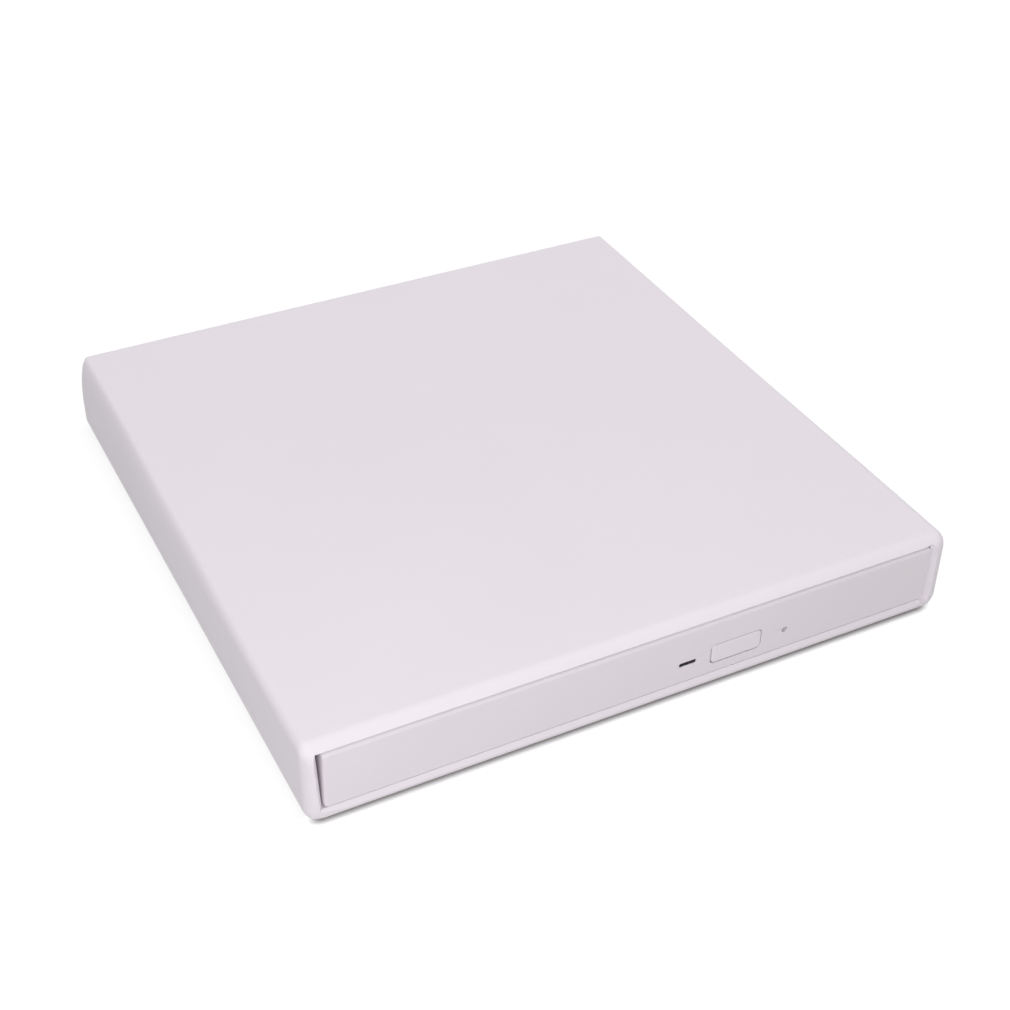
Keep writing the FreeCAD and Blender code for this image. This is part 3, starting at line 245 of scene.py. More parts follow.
def islands(node):
    """The separate solids of a CAD node, each as its corner points in millimetres."""
    mesh = solid_of(node)
    found, seen = [], set()
    for start in mesh.verts:
        if start in seen:
            continue
        seen.add(start)
        stack, corners = [start], []
        while stack:
            vert = stack.pop()
            corners.append(vert.co / mm)
            for edge in vert.link_edges:
                other = edge.other_vert(vert)
                if other not in seen:
                    seen.add(other)
                    stack.append(other)
        found.append(corners)
    mesh.free()
    return found


def extent(points):
    """The lowest and the highest coordinates of some points."""
    return tuple([pick(p[k] for p in points) for k in range(3)] for pick in (min, max))


def soften(node, width):
    """A copy of a CAD node with its sharp edges rounded by a little, which stands for it."""
    flat_angle = math.radians(0.6)
    mesh = solid_of(node)
    bmesh.ops.dissolve_limit(mesh, angle_limit=flat_angle, verts=mesh.verts, edges=mesh.edges)
    edges = [
        edge
        for edge in mesh.edges
        if len(edge.link_faces) == 2 and edge.calc_face_angle(0) > bevel_angle
    ]
    bmesh.ops.bevel(
        mesh,
        geom=edges,
        offset=width * mm,
        offset_type="OFFSET",
        segments=2,
        profile=0.5,
        affect="EDGES",
        clamp_overlap=True,
    )
    piece = to_object(mesh, node + "_finish")
    weigh_normals(piece)
    settle(piece, body_of_node[node], node)
    paint(piece, looks_of_node[node])


def settle(piece, body, *stands_for):
    """Put a piece on its body; it stands for CAD nodes, which are hidden."""
    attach(piece, body)
    if stands_for:
        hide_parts(*stands_for)


def paint(piece, material):
    piece.data.materials.clear()
    piece.data.materials.append(material)
    for polygon in piece.data.polygons:
        polygon.material_index = 0


# Materials


def node_of(tree, kind, **values):
    """A new shader node with values for its sockets, or for its settings."""
    made = tree.nodes.new(kind)
    for key, value in values.items():
        if key in made.inputs:
            made.inputs[key].default_value = value
        else:
            setattr(made, key, value)
    return made


def map_range(tree, value, source, target, **settings):
    """A node that maps the source range of a value to the target range."""
    made = node_of(tree, "ShaderNodeMapRange", **settings)
    for key, number in zip(("From Min", "From Max", "To Min", "To Max"), (*source, *target)):
        made.inputs[key].default_value = number
    tree.links.new(value, made.inputs["Value"])
    return made


noise_low, noise_high = 0.3, 0.7  # most of a noise texture's values lie between these


def surface(
    name,
    colour,
    vary=0.03,
    patch=60.0,
    rough=(0.35, 0.45),
    grain=3000.0,
    relief=0.004,
    metallic=0.0,
    stretch=(1, 1, 1),
    coat=0.0,
    **sockets,
):
    """A procedural finish: patchy colour, uneven roughness and a fine relief.

    patch and grain are noise scales per metre, relief is in millimetres.
    """
    material = bpy.data.materials.new(name)
    material.use_nodes = True
    tree = material.node_tree
    shader = tree.nodes["Principled BSDF"]
    link = tree.links.new
    place = node_of(tree, "ShaderNodeTexCoord")
    mapping = node_of(tree, "ShaderNodeMapping", Scale=stretch)
    link(place.outputs["Object"], mapping.inputs["Vector"])

    cloud = node_of(tree, "ShaderNodeTexNoise", Scale=patch, Detail=5.0, Roughness=0.55)
    link(mapping.outputs["Vector"], cloud.inputs["Vector"])
    ramp = node_of(tree, "ShaderNodeValToRGB")
    dark, light = ramp.color_ramp.elements
    dark.position, light.position = noise_low, noise_high
    dark.color = [max(c * (1 - vary), 0) for c in colour] + [1]
    light.color = [min(c * (1 + vary), 1) for c in colour] + [1]
    link(cloud.outputs["Fac"], ramp.inputs["Fac"])
    link(ramp.outputs["Color"], shader.inputs["Base Color"])

    fine = node_of(tree, "ShaderNodeTexNoise", Scale=grain, Detail=3.0, Roughness=0.6)
    link(mapping.outputs["Vector"], fine.inputs["Vector"])
    uneven = map_range(tree, fine.outputs["Fac"], (noise_low, noise_high), rough)
    link(uneven.outputs["Result"], shader.inputs["Roughness"])
    bump = node_of(tree, "ShaderNodeBump", Strength=1.0, Distance=relief * mm)
    link(fine.outputs["Fac"], bump.inputs["Height"])
    link(bump.outputs["Normal"], shader.inputs["Normal"])

    shader.inputs["Metallic"].default_value = metallic
    shader.inputs["Coat Weight"].default_value = coat
    for key, value in sockets.items():
        shader.inputs[key.replace("_", " ")].default_value = value
    return material


# By slot: name, colour, vary, patch, rough, grain, relief, metallic, stretch
along_sheet = (1, 0.06, 1)  # rolling marks along Y
looks = {
    "case_white": surface(
        "case_plastic", (0.800, 0.748, 0.800), 0.008, 35, (0.42, 0.50), 5200, 0.0012,
        Specular_IOR_Level=0.3,
    ),
    "bezel_white": surface(
        "bezel_plastic", (0.770, 0.718, 0.765), 0.008, 40, (0.36, 0.44), 5200, 0.0010,
        Specular_IOR_Level=0.35,
    ),
    "button_white": surface(
        "button_plastic", (0.80, 0.748, 0.795), 0.008, 60, (0.36, 0.44), 5200, 0.0010,
        Specular_IOR_Level=0.35,
    ),
    "light_pipe_dark": surface(
        "lamp_window", (0.010, 0.008, 0.010), 0.2, 300, (0.5, 0.6), 4000, 0.0005,
        Specular_IOR_Level=0.2,
    ),
    "black_rubber": surface("rubber", (0.022, 0.022, 0.023), 0.2, 400, (0.6, 0.75), 2600, 0.012),
    "grey_rubber": surface("soft_rubber", (0.07, 0.07, 0.075), 0.15, 400, (0.55, 0.7), 2600, 0.01),
    "screw_steel": surface(
        "screw_metal", (0.62, 0.62, 0.63), 0.05, 500, (0.22, 0.34), 3000, 0.002, 1.0
    ),
    "sheet_steel": surface(
        "zinc_sheet", (0.60, 0.61, 0.62), 0.06, 130, (0.26, 0.42), 1400, 0.002, 1.0, along_sheet
    ),
    "shaft_steel": surface(
        "polished_shaft", (0.68, 0.68, 0.69), 0.03, 200, (0.10, 0.18), 2500, 0.0006, 1.0
    ),
    "board_green": surface("board", (0.012, 0.085, 0.035), 0.3, 260, (0.25, 0.4), 1500, 0.01),
    "chip_black": surface("chips", (0.014, 0.014, 0.015), 0.2, 500, (0.45, 0.6), 2600, 0.006),
    "capacitor_can": surface(
        "can_metal", (0.60, 0.60, 0.62), 0.04, 300, (0.2, 0.3), 2500, 0.001, 1.0
    ),
    "socket_steel": surface(
        "socket_metal", (0.66, 0.66, 0.67), 0.05, 250, (0.18, 0.3), 2500, 0.001, 1.0
    ),
    "black_plastic": surface(
        "black_moulding", (0.016, 0.016, 0.018), 0.15, 200, (0.4, 0.52), 2800, 0.006
    ),
    "ribbon": surface("ribbon", (0.55, 0.47, 0.33), 0.08, 300, (0.3, 0.4), 1800, 0.002),
    "guide_plastic": surface("acetal", (0.66, 0.65, 0.61), 0.03, 150, (0.32, 0.42), 2500, 0.003),
    "tray_grey": surface(
        "tray_plastic", (0.030, 0.030, 0.033), 0.12, 90, (0.42, 0.56), 1900, 0.010
    ),
    "turntable_metal": surface(
        "turned_metal", (0.62, 0.62, 0.64), 0.04, 250, (0.2, 0.32), 2500, 0.001, 1.0
    ),
    "hub_plastic": surface("hub_plastic", (0.05, 0.05, 0.055), 0.1, 200, (0.3, 0.42), 2600, 0.003),
    "copper_coil": surface(
        "copper_winding", (0.72, 0.30, 0.12), 0.2, 900, (0.25, 0.4), 4000, 0.01, 1.0
    ),
    "pickup_metal": surface(
        "cast_pickup", (0.33, 0.33, 0.34), 0.1, 350, (0.3, 0.5), 1800, 0.012, 1.0
    ),
    "lens_glass": surface(
        "lens_coating", (0.16, 0.10, 0.30), 0.3, 300, (0.03, 0.06), 4000, 0.0002, coat=1.0
    ),
}
looks_of_node = {
    "tray_cover": surface(
        "dull_sheet", (0.26, 0.265, 0.27), 0.06, 130, (0.5, 0.62), 1400, 0.002, 1.0, along_sheet
    ),
}
for name in nodes:
    looks_of_node.setdefault(name, looks[slot_of_node[name]])
for name, piece in nodes.items():
    paint(piece, looks_of_node[name])


# Sizes read from the frame, in millimetres


def span(node):
    low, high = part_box(node)
    return [c / mm for c in low], [c / mm for c in high]


def middle_of(node):
    low, high = span(node)
    return [(a + b) / 2 for a, b in zip(low, high)]


cover_low, cover_high = span("top_cover")
x_half = cover_high[0]
y_front, y_back = cover_low[1], cover_high[1]
z_low, z_top = cover_low[2], cover_high[2]
section_steps = 14
opening_top = 16.5
bezel_low, bezel_high = span("front_bezel")
button_low, button_high = span("eject_button")
seen_shift = -0.45  # the openings in the bezel lie further left than the switch behind them
stem_x, _, z_row = middle_of("eject_button")
button_x = stem_x + seen_shift
lamp_x = middle_of("light_pipe")[0] + seen_shift
pin_x = 30.75 + seen_shift


# Case cover


def section(inset_side, inset_top, inset_low, roll, radius_low):
    """Cross-section of the case, inset from its outline, as rings that match point for point."""
    right = x_half - inset_side
    top = z_top - inset_top
    low = z_low + inset_low
    (right_across, right_down), (left_across, left_down) = roll
    points = []
    corners = (
        (right - right_across, top - right_down, right_across, right_down),
        (-right + left_across, top - left_down, left_across, left_down),
        (-right + radius_low, low + radius_low, radius_low, radius_low),
        (right - radius_low, low + radius_low, radius_low, radius_low),
    )
    for quarter, (cx, cz, rx, rz) in enumerate(corners):
        for i in range(section_steps + 1):
            t = math.pi / 2 * (quarter + i / section_steps)
            points.append((cx + rx * math.cos(t), cz + rz * math.sin(t)))
    return points


def smooth(value):
    value = max(0.0, min(1.0, value))
    return value * value * (3 - 2 * value)


def end_depth(side, top, low):
    """How far the end's rounding reaches at each point of the section."""
    depths = []
    for a, b in ((side, top), (top, side), (side, low), (low, side)):
        for i in range(section_steps + 1):
            depths.append(a + (b - a) * smooth(i / section_steps))
    return depths


def roll_at(y, share=0.0):
    """How far the upper edges' rounding goes across and down, on the right and on the left.

    It is tight in front and deeper at the back. share is 1 where the end's rounding is complete.
    """
    start, run = -45, 120  # where it begins to change, and over what length
    across, down = 1.8, 2.2  # in front
    grown = smooth((y - start) / run)
    narrow, flat = 1 - 0.3 * share, 1 - 0.35 * share
    right = (across - 0.45 * grown) * narrow, (down + 10.3 * grown) * flat
    left = (across + 0.8 * grown) * narrow, (down + 9.3 * grown) * flat
    return right, left


def case_block():
    """The case as one closed block with its rounded ends."""
    rounds = 14
    low = 1.6  # rounding of the ends at the lower edge
    low_radius, low_radius_grows = 2.0, 1.8  # lower edges along the sides
    inside_end, inside_low, inside_radius = 0.5, 3.2, 1.0  # last ring, which carries the end face
    lip_top = 8.0  # only the end face below this leans inwards
    distances = (58, 48, 38, 29, 21, 15, 11, 8, 6, 4.8)  # of the plain rings from the end
    ends = (
        # end, way inwards, corner radius from above, top roll along and down, lower lip's slope
        (y_front, 1, 2.9, 3.6, 3.6, 0.6),
        (y_back, -1, 4.0, 3.0, 4.0, 0.0),
    )
    mesh = bmesh.new()
    rings = []
    for y_end, way, side, along, drop, slope in ends:
        depths = end_depth(side, along, low)
        end = []
        for distance in distances:
            y = y_end + way * distance
            end.append(ring(mesh, section(0, 0, 0, roll_at(y), low_radius), y))
        for i in range(rounds + 1):
            t = math.pi / 2 * i / rounds
            share = 1 - math.cos(t)
            depth = 1 - math.sin(t)
            radius = low_radius + low_radius_grows * share
            roll = roll_at(y_end, share)
            shape = section(side * share, drop * share, low * share, roll, radius)
            points = [(x, y_end + way * d * depth, z) for (x, z), d in zip(shape, depths)]
            end.append(vertices(mesh, points))
        roll = roll_at(y_end, 1.0)
        shape = section(side + inside_end, drop + inside_end, inside_low, roll, inside_radius)
        points = [(x, y_end + way * (slope if z < lip_top else 0), z) for x, z in shape]
        end.append(vertices(mesh, points))
        rings.append(end)
    front, back = rings
    for end in rings:
        join_rings(mesh, end)
    bridge(mesh, front[0], back[0])
    mesh.faces.new(front[-1])
    mesh.faces.new(back[-1])
    return to_object(mesh, "case_block")


def opening_cutter():
    """The bezel's opening, flared where it meets the rolled front edge and the right pillar."""
    low, high = 3.5, opening_top
    left_low, left_top, right_low, right_top = 65.15, 65.6, 64.1, 64.15
    lip_top, lip_low, lip_right = 0.68, 0.4, 1.1  # depth of the flare
    pillar = 1.2  # width of the strip along the right pillar where its flare begins
    flare = 0.1
    wide = 2.0  # the cutter's growth in front of the case
    deep = 2.5

    def outline(grow):
        """Corners, and how far behind the front plane the flare ends at each of them."""
        return [
            (right_top + grow, high + grow, lip_right),
            (right_top - pillar, high + grow, lip_top),
            (-left_top - grow, high + grow, lip_top),
            (-left_low - grow, low - grow, lip_low),
            (right_low - pillar, low - grow, lip_low),
            (right_low + grow, low - grow, lip_right),
        ]

    mesh = bmesh.new()
    rings = []
    for grow in (wide, 0.0):
        points = [(x, y_front + lip + flare - grow, z) for x, z, lip in outline(grow)]
        rings.append(vertices(mesh, points))
    rings.append(ring(mesh, [(x, z) for x, z, _ in outline(0)], y_front + deep))
    return cutter_through(mesh, rings, "opening_cutter")


def cavity_cutter():
    """The room inside the case, open below."""
    half, low = 65.4, -1.0
    front_wall, rear_wall = 2.4, 2.2
    corners = [(half, opening_top), (-half, opening_top), (-half, low), (half, low)]
    ends = (y_front + front_wall, y_back - rear_wall)
    return loft([(corners, y) for y in ends], "cavity_cutter")


def socket_cutters():
    """Holes for the two rear sockets, with a small chamfer at the outside."""
    gap, chamfer = 0.25, 0.3
    usb_corner, jack_radius = 0.3, 2.9
    inside, outside = 4, 1  # how far the cutters reach to both sides of the rear face
    usb_low, usb_high = span("usb_socket_shell")
    width, height = (usb_high[i] - usb_low[i] + 2 * gap for i in (0, 2))
    usb_x, _, usb_z = middle_of("usb_socket_shell")
    jack_x, _, jack_z = middle_of("power_jack")
    usb, jack = [], []
    for y, grow in (
        (y_back - inside, 0),
        (y_back - chamfer, 0),
        (y_back + outside, outside + chamfer),
    ):
        hole = rounded(usb_x, usb_z, width + 2 * grow, height + 2 * grow, usb_corner + grow)
        usb.append((hole, y))
        jack.append((circle(jack_x, jack_z, jack_radius + gap + grow, 64), y))
    return [loft(usb, "usb_cutter"), loft(jack, "jack_cutter")]


def case_cover():
    cutters = [opening_cutter(), cavity_cutter()] + socket_cutters()
    piece = cut(case_block(), cutters, "case_cover")
    weigh_normals(piece)
    settle(piece, "case", "top_cover")
    paint(piece, looks["case_white"])


# Front bezel


def bezel():
    """The bezel's plate with its button window, lamp slot and pin hole, and the rim behind it."""
    thickness, plate, rim = 3.85, 1.6, 1.4
    corner, inner_corner, corner_less = 0.8, 0.4, 0.3
    edge_top, edge_left, edge_right, edge_low, edge_depth = 1.0, 0.4, 0.15, 0.1, 1.0
    left_low, left_top, right_low, right_top = 64.75, 64.5, 64.0, 64.0
    small, small_steps = 0.1, 4  # rounded edges of the openings
    y0, y1 = bezel_low[1], bezel_low[1] + thickness
    z0, z1 = 3.58, bezel_high[2]
    mesh = bmesh.new()

    def frame_ring(left, right, top, low, radius, y):
        corners = [
            (right_top - right, z1 - top),
            (-left_top + left, z1 - top),
            (-left_low + left, z0 + low),
            (right_low - right, z0 + low),
        ]
        return ring(mesh, filleted(corners, radius), y)

    def bar(x, width, height, radius, steps):
        """An opening with round corners, as a function of how far it is widened."""
        return lambda g: rounded(x, z_row, width + 2 * g, height + 2 * g, radius + g, steps)

    shapes = (
        bar(button_x - 0.07, 11.4, 4.6, 0.95, 8),
        bar(lamp_x, 3.7, 0.9, 0.25, 6),
        lambda g: circle(pin_x, z_row, 0.62 + g, 40),
    )
    fronts, plates = [], []
    for shape in shapes:
        rings = []
        for i in range(small_steps + 1):
            t = math.pi / 2 * i / small_steps
            y = y0 + small * (1 - math.cos(t))
            rings.append(ring(mesh, shape(small * (1 - math.sin(t))), y))
        rings.append(ring(mesh, shape(0), y0 + plate))
        join_rings(mesh, rings)
        fronts.append(rings[0])
        plates.append(rings[-1])
    rings = []
    for share, depth in arc(1.0, 8):
        inset = [edge * share for edge in (edge_left, edge_right, edge_top, edge_low)]
        rings.append(frame_ring(*inset, corner - corner_less * share, y0 + edge_depth * depth))
    join_rings(mesh, rings)
    fill_between(mesh, [rings[-1]] + fronts)
    back = frame_ring(0, 0, 0, 0, corner, y1)
    inner_back = frame_ring(rim, rim, rim, rim, inner_corner, y1)
    inner_plate = frame_ring(rim, rim, rim, rim, inner_corner, y0 + plate)
    join_rings(mesh, [rings[0], back, inner_back, inner_plate])
    fill_between(mesh, [inner_plate] + plates)
    piece = to_object(mesh, "bezel_front")
    weigh_normals(piece)
    settle(piece, "tray", "front_bezel")
    paint(piece, looks["bezel_white"])


def eject_button():
    """The button's cap with rounded edges, its flange and its stem."""
    width, height, corner = 11.0, 4.2, 0.75
    edge, face_inset = 0.32, 0.6
    cap_depth = 1.75
    flange_width, flange_depth = 0.8, 0.7
    stem_radius, stem_gap = 0.9, 0.06  # the gap is left before the switch when fully pressed
    y0 = button_low[1]
    y_flange = y0 + cap_depth
    y_stem = y_flange + flange_depth
    mesh = bmesh.new()

    def cap(inset, y):
        shape = rounded(
            button_x, z_row, width - 2 * inset, height - 2 * inset, corner - inset, 8
        )
        return ring(mesh, shape, y)

    def flange(y):
        across, high = width + 2 * flange_width, height + 2 * flange_width
        return ring(mesh, rounded(button_x, z_row, across, high, corner, 8), y)

    rings = [cap(inset, y0 + depth) for inset, depth in reversed(arc(edge, 6))]
    rings += [cap(0, y_flange), flange(y_flange), flange(y_stem)]
    stem = [
        ring(mesh, circle(stem_x, z_row, stem_radius, 36), y)
        for y in (y_stem, button_high[1] - stem_gap)
    ]
    join_rings(mesh, rings)
    face = cap(edge + face_inset, y0)
    bridge(mesh, rings[0], face)
    mesh.faces.new(face)
    fill_between(mesh, [rings[-1], stem[0]])
    bridge(mesh, *stem)
    mesh.faces.new(stem[1])
    piece = to_object(mesh, "eject_key")
    weigh_normals(piece)
    settle(piece, "eject_button", "eject_button")
    paint(piece, looks["button_white"])


def lamp_window():
    """The dark window of the lamp: a bar with rounded edges just behind the bezel's face."""
    width, height, corner, edge, recess = 3.56, 0.78, 0.2, 0.08, 0.12
    y0, y1 = bezel_low[1] + recess, span("light_pipe")[1][1]
    loops = []
    for inset, y in ((edge, y0), (0.0, y0 + edge), (0.0, y1)):
        across, high = width - 2 * inset, height - 2 * inset
        loops.append((rounded(lamp_x, z_row, across, high, corner - inset), y))
    piece = loft(loops, "lamp_window")
    weigh_normals(piece)
    settle(piece, "tray", "light_pipe")
    paint(piece, looks["light_pipe_dark"])


# Screws, feet, sockets


def prototype_screw(head_radius, head_height, shank_radius, length):
    """A pan-head cross screw along +Z from the middle of its head."""
    crown = ((0, 0.02), (0.55, 0.03), (0.82, 0.12), (1.0, 0.38))  # share of the radius, height
    profile = [(head_radius * share, height) for share, height in crown]
    profile += [(head_radius, head_height), (shank_radius, head_height)]
    pitch, root = 0.4, 0.82
    z = head_height + 0.25
    while z < length - 0.6:
        profile += [(shank_radius, z), (shank_radius * root, z + pitch / 2)]
        z += pitch
    tip = ((0.9, 0.35), (0.55, 0), (0, 0))  # share of the radius, height above the end
    profile += [(shank_radius * share, length - height) for share, height in tip]
    body = turned(profile, 0, 0, "screw_body", 32)
    cutter = bmesh.new()
    long, half = head_radius * 0.58, head_radius * 0.15
    rings = []
    for height, grow in ((-0.3, 1.25), (0.02, 1.1), (head_height * 0.62, 0.7)):
        a, b = long * grow, half * grow
        arm, cross = [(a, -b), (a, b), (b, b)], []
        for _ in range(4):
            cross += arm
            arm = [(-y, x) for x, y in arm]
        rings.append(vertices(cutter, [(x, y, height) for x, y in cross]))
    return cut(body, [cutter_through(cutter, rings, "cross_cutter")], "screw_shape")


def screws(node, axis):
    """Detailed screws in the places of a node's plain ones; axis is the screws' own, 0 or 2."""
    head_share, shank_share = 0.98, 0.97  # of the plain ones' radius
    on_axis = 0.3  # points nearer to the axis than this belong to the ends' middles
    i, j = (k for k in range(3) if k != axis)
    mesh = bmesh.new()
    shape = None
    for corners in islands(node):
        lows, highs = extent(corners)
        low, high = lows[axis], highs[axis]
        middle = Vector([(a + b) / 2 for a, b in zip(lows, highs)])
        reach = [(math.hypot(c[i] - middle[i], c[j] - middle[j]), c) for c in corners]
        head_radius = max(r for r, c in reach)
        shank_radius = min(r for r, c in reach if r > on_axis)
        head = [c[axis] for r, c in reach if r > head_radius - 0.05]
        at_low = min(head) < low + 0.01
        if shape is None:
            radii = head_radius * head_share, shank_radius * shank_share
            shape = prototype_screw(radii[0], max(head) - min(head), radii[1], high - low)
        place = middle.copy()
        place[axis] = low if at_low else high
        way = Vector((0, 0, 0))
        way[axis] = 1 if at_low else -1
        turn = way.to_track_quat("Z", "Y").to_matrix().to_4x4()
        # Each screw stops at an angle of its own
        spin = Matrix.Rotation(0.7 * place.x + 0.4 * place.y, 4, "Z")
        copy = shape.data.copy()
        copy.transform(Matrix.Translation(place * mm) @ turn @ spin)
        mesh.from_mesh(copy)
        bpy.data.meshes.remove(copy)
    bpy.data.objects.remove(shape)
    piece = to_object(mesh, node + "_cross_head")
    settle(piece, body_of_node[node], node)
    paint(piece, looks_of_node[node])


def rubber_feet():
    """Feet with a rounded lower edge and a shallow hollow in the middle."""
    edge, hollow = 0.3, 0.1
    mesh = bmesh.new()
    for corners in islands("rubber_feet"):
        (x0, y0, low), (x1, y1, high) = extent(corners)
        x, y = (x0 + x1) / 2, (y0 + y1) / 2
        radius = x1 - x
        profile = [(0, low + hollow), (radius * 0.55, low + hollow), (radius * 0.66, low)]
        profile += [(radius - inset, low + depth) for inset, depth in reversed(arc(edge, 5))]
        profile += [(radius, high), (0, high)]
        foot = turned(profile, x, y, "foot", 64)
        mesh.from_mesh(foot.data)
        bpy.data.objects.remove(foot)
    piece = to_object(mesh, "foot_pads")
    settle(piece, "case", "rubber_feet")
    paint(piece, looks["black_rubber"])


def socket_contacts():
    """Plated strips along the underside of the socket's tongue."""
    count, pitch, half_width, half_height = 5, 0.8, 0.2, 0.05
    below_middle, reach, end_gap = 0.2, 3.6, 0.25
    y_end = span("usb_socket_tongue")[1][1]
    x_middle = middle_of("usb_socket_tongue")[0]
    z = middle_of("usb_socket_shell")[2] - below_middle
    mesh = bmesh.new()
    for i in range(count):
        x = x_middle + (i - count // 2) * pitch
        sides = x - half_width, x + half_width
        strip = block(*sides, y_end - reach, y_end - end_gap, z - half_height, z + half_height)
        mesh.from_mesh(strip.data)
        bpy.data.objects.remove(strip)
    piece = to_object(mesh, "socket_contacts")
    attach(piece, "case")
    plated = surface(
        "plated_contact", (0.80, 0.58, 0.25), 0.05, 500, (0.18, 0.28), 3000, 0.001, 1.0
    )
    paint(piece, plated)


# Spindle and lens


spindle_x, spindle_y, _ = middle_of("disc_hub")
pad_low, pad_high = span("turntable_pad")


def turned_on_spindle(profile, name):
    return turned(profile, spindle_x, spindle_y, name, 128)


def pad():
    """The rubber ring that the disc lies on, with fine grooves in its top."""
    outer, inner = pad_high[0] - spindle_x, 9.0
    low, high = pad_low[2], pad_high[2]
    half_groove, groove_depth = 0.12, 0.07
    profile = [(inner, low), (outer, low)]
    profile += [(outer - inset, high - depth) for inset, depth in arc(0.14, 3)]
    for groove in (12.1, 11.2, 10.3):
        profile += [
            (groove + half_groove, high),
            (groove, high - groove_depth),
            (groove - half_groove, high),
        ]
    profile += [(inner + 0.12, high), (inner, high - 0.12)]
    piece = turned_on_spindle(profile, "pad_ring")
    settle(piece, "spindle", "turntable_pad")
    paint(piece, looks_of_node["turntable_pad"])


def hub():
    """The hub with its lead-in, a turned top and the three claw slots."""
    radius, flange = 7.45, 8.9
    straight, taper, steps = 1.2, 0.6, 6
    (_, _, base), (_, _, top) = span("disc_hub")
    seat = pad_high[2]
    wall = seat + straight
    profile = [(0, base), (flange, base), (flange, seat - 0.1), (flange - 0.1, seat)]
    profile += [(radius, seat), (radius, wall)]
    for i in range(1, steps + 1):
        t = i / steps
        profile.append((radius - taper * t * t, wall + (top - 0.25 - wall) * t))
    # Radius and depth of the steps turned into the top
    groove = ((6.6, 0), (5.2, 0), (5.05, 0.15), (2.3, 0.15), (2.15, 0))
    centre = ((1.3, 0), (1.1, 0.3), (0, 0.3))
    profile += [(r, top - depth) for r, depth in groove + centre]
    body = turned_on_spindle(profile, "hub_body")
    slot_inner, slot_outer, half_slot, slot_low, slot_high = 4.0, 9.5, 1.1, 14.1, 15.0
    cutters = []
    for i in range(3):
        cutter = block(slot_inner, slot_outer, -half_slot, half_slot, slot_low, slot_high)
        turn = Matrix.Rotation(math.radians(90 + 120 * i), 4, "Z")
        cutter.data.transform(Matrix.Translation((spindle_x * mm, spindle_y * mm, 0)) @ turn)
        cutters.append(cutter)
    piece = cut(body, cutters, "hub_turned")
    weigh_normals(piece)
    settle(piece, "spindle", "disc_hub")
    paint(piece, looks_of_node["disc_hub"])


def lens():
    """The objective: a dome in a flat rim."""
    dome, rim_width, steps = 0.55, 0.35, 9
    low, high = span("objective_lens")
    x, y, _ = middle_of("objective_lens")
    radius = (high[0] - low[0]) / 2
    inner = radius - rim_width
    rim = high[2] - dome
    profile = [(0, low[2]), (radius, low[2]), (radius, rim), (inner, rim)]
    for i in range(1, steps):
        t = math.pi / 2 * i / steps
        profile.append((inner * math.cos(t), rim + dome * math.sin(t)))
    profile.append((0, high[2]))
    piece = turned(profile, x, y, "lens_dome", 64)
    settle(piece, "lens", "objective_lens")
    paint(piece, looks["lens_glass"])


case_cover()
bezel()
eject_button()
lamp_window()
rubber_feet()
socket_contacts()
pad()
hub()
lens()
for name, axis in (("case_screws", 2), ("drive_screws", 2), ("tray_screws", 2), ("lid_screws", 0)):
    screws(name, axis)
for name, width in (
    ("bottom_plate", 0.2),
    ("usb_socket_shell", 0.08),
    ("usb_socket_tongue", 0.08),
    ("power_jack", 0.12),
    ("tray", 0.15),
    ("tray_cover", 0.1),
    ("drive_chassis", 0.12),
    ("drive_lid", 0.12),
    ("left_rail_guide", 0.08),
    ("right_rail_guide", 0.08),
    ("left_slide_rail", 0.08),
    ("right_slide_rail", 0.08),
    ("hub_claw_1", 0.06),
    ("hub_claw_2", 0.06),
    ("hub_claw_3", 0.06),
    ("pickup_body", 0.15),
    ("pickup_shield", 0.06),
    ("lens_holder", 0.12),
    ("traverse_frame", 0.08),
    ("turntable", 0.12),
):
    soften(name, width)


# Camera, from a fit of the case's outlines


def camera():
    azimuth, elevation, roll = (math.radians(v) for v in (27.21, 36.84, 0.68))
    place = Vector((-0.13198, -0.26785, 0.22444))
    focal_pixels, frame_pixels, sensor = 1721.6, 1010, 36.0
    forward = Vector(
        (
            math.sin(azimuth) * math.cos(elevation),
            math.cos(azimuth) * math.cos(elevation),
            -math.sin(elevation),
        )
    )
    level = forward.cross(Vector((0, 0, 1))).normalized()
    upright = level.cross(forward)
    right = level * math.cos(roll) + upright * math.sin(roll)
    up = upright * math.cos(roll) - level * math.sin(roll)
    data = bpy.data.cameras.new("camera")
    data.sensor_width = sensor
    data.lens = focal_pixels / frame_pixels * sensor
    data.clip_start = 0.01
    data.clip_end = 20
    eye = bpy.data.objects.new("camera", data)
    scene.collection.objects.link(eye)
    axes = Matrix((right, up, -forward)).transposed().to_4x4()
    eye.matrix_world = Matrix.Translation(place) @ axes
    scene.camera = eye


camera()


# Light, floor and background


def math_node(tree, operation, *inputs):
    """The result of an operation on numbers and other nodes' outputs."""
    made = node_of(tree, "ShaderNodeMath", operation=operation)
    for socket, value in zip(made.inputs, inputs):
        if isinstance(value, (int, float)):
            socket.default_value = value
        else:
            tree.links.new(value, socket)
    return made.outputs[0]


def blend(tree, factor, low, high):
    """A colour between two, each a constant or another node's output."""
    mix = node_of(tree, "ShaderNodeMix", data_type="RGBA")
    tree.links.new(factor, mix.inputs["Factor"])
    for key, value in (("A", low), ("B", high)):
        if isinstance(value, tuple):
            mix.inputs[key].default_value = value
        else:
            tree.links.new(value, mix.inputs[key])
    return mix.outputs["Result"]


def grey(level):
    return (level, level, level, 1)


def seen_directly(tree):
    """1 for rays that show the background itself or its reflection, else 0."""
    path = node_of(tree, "ShaderNodeLightPath")
    value = path.outputs["Is Camera Ray"]
    for other in ("Is Glossy Ray", "Is Transmission Ray"):
        value = math_node(tree, "MAXIMUM", value, path.outputs[other])
    return value


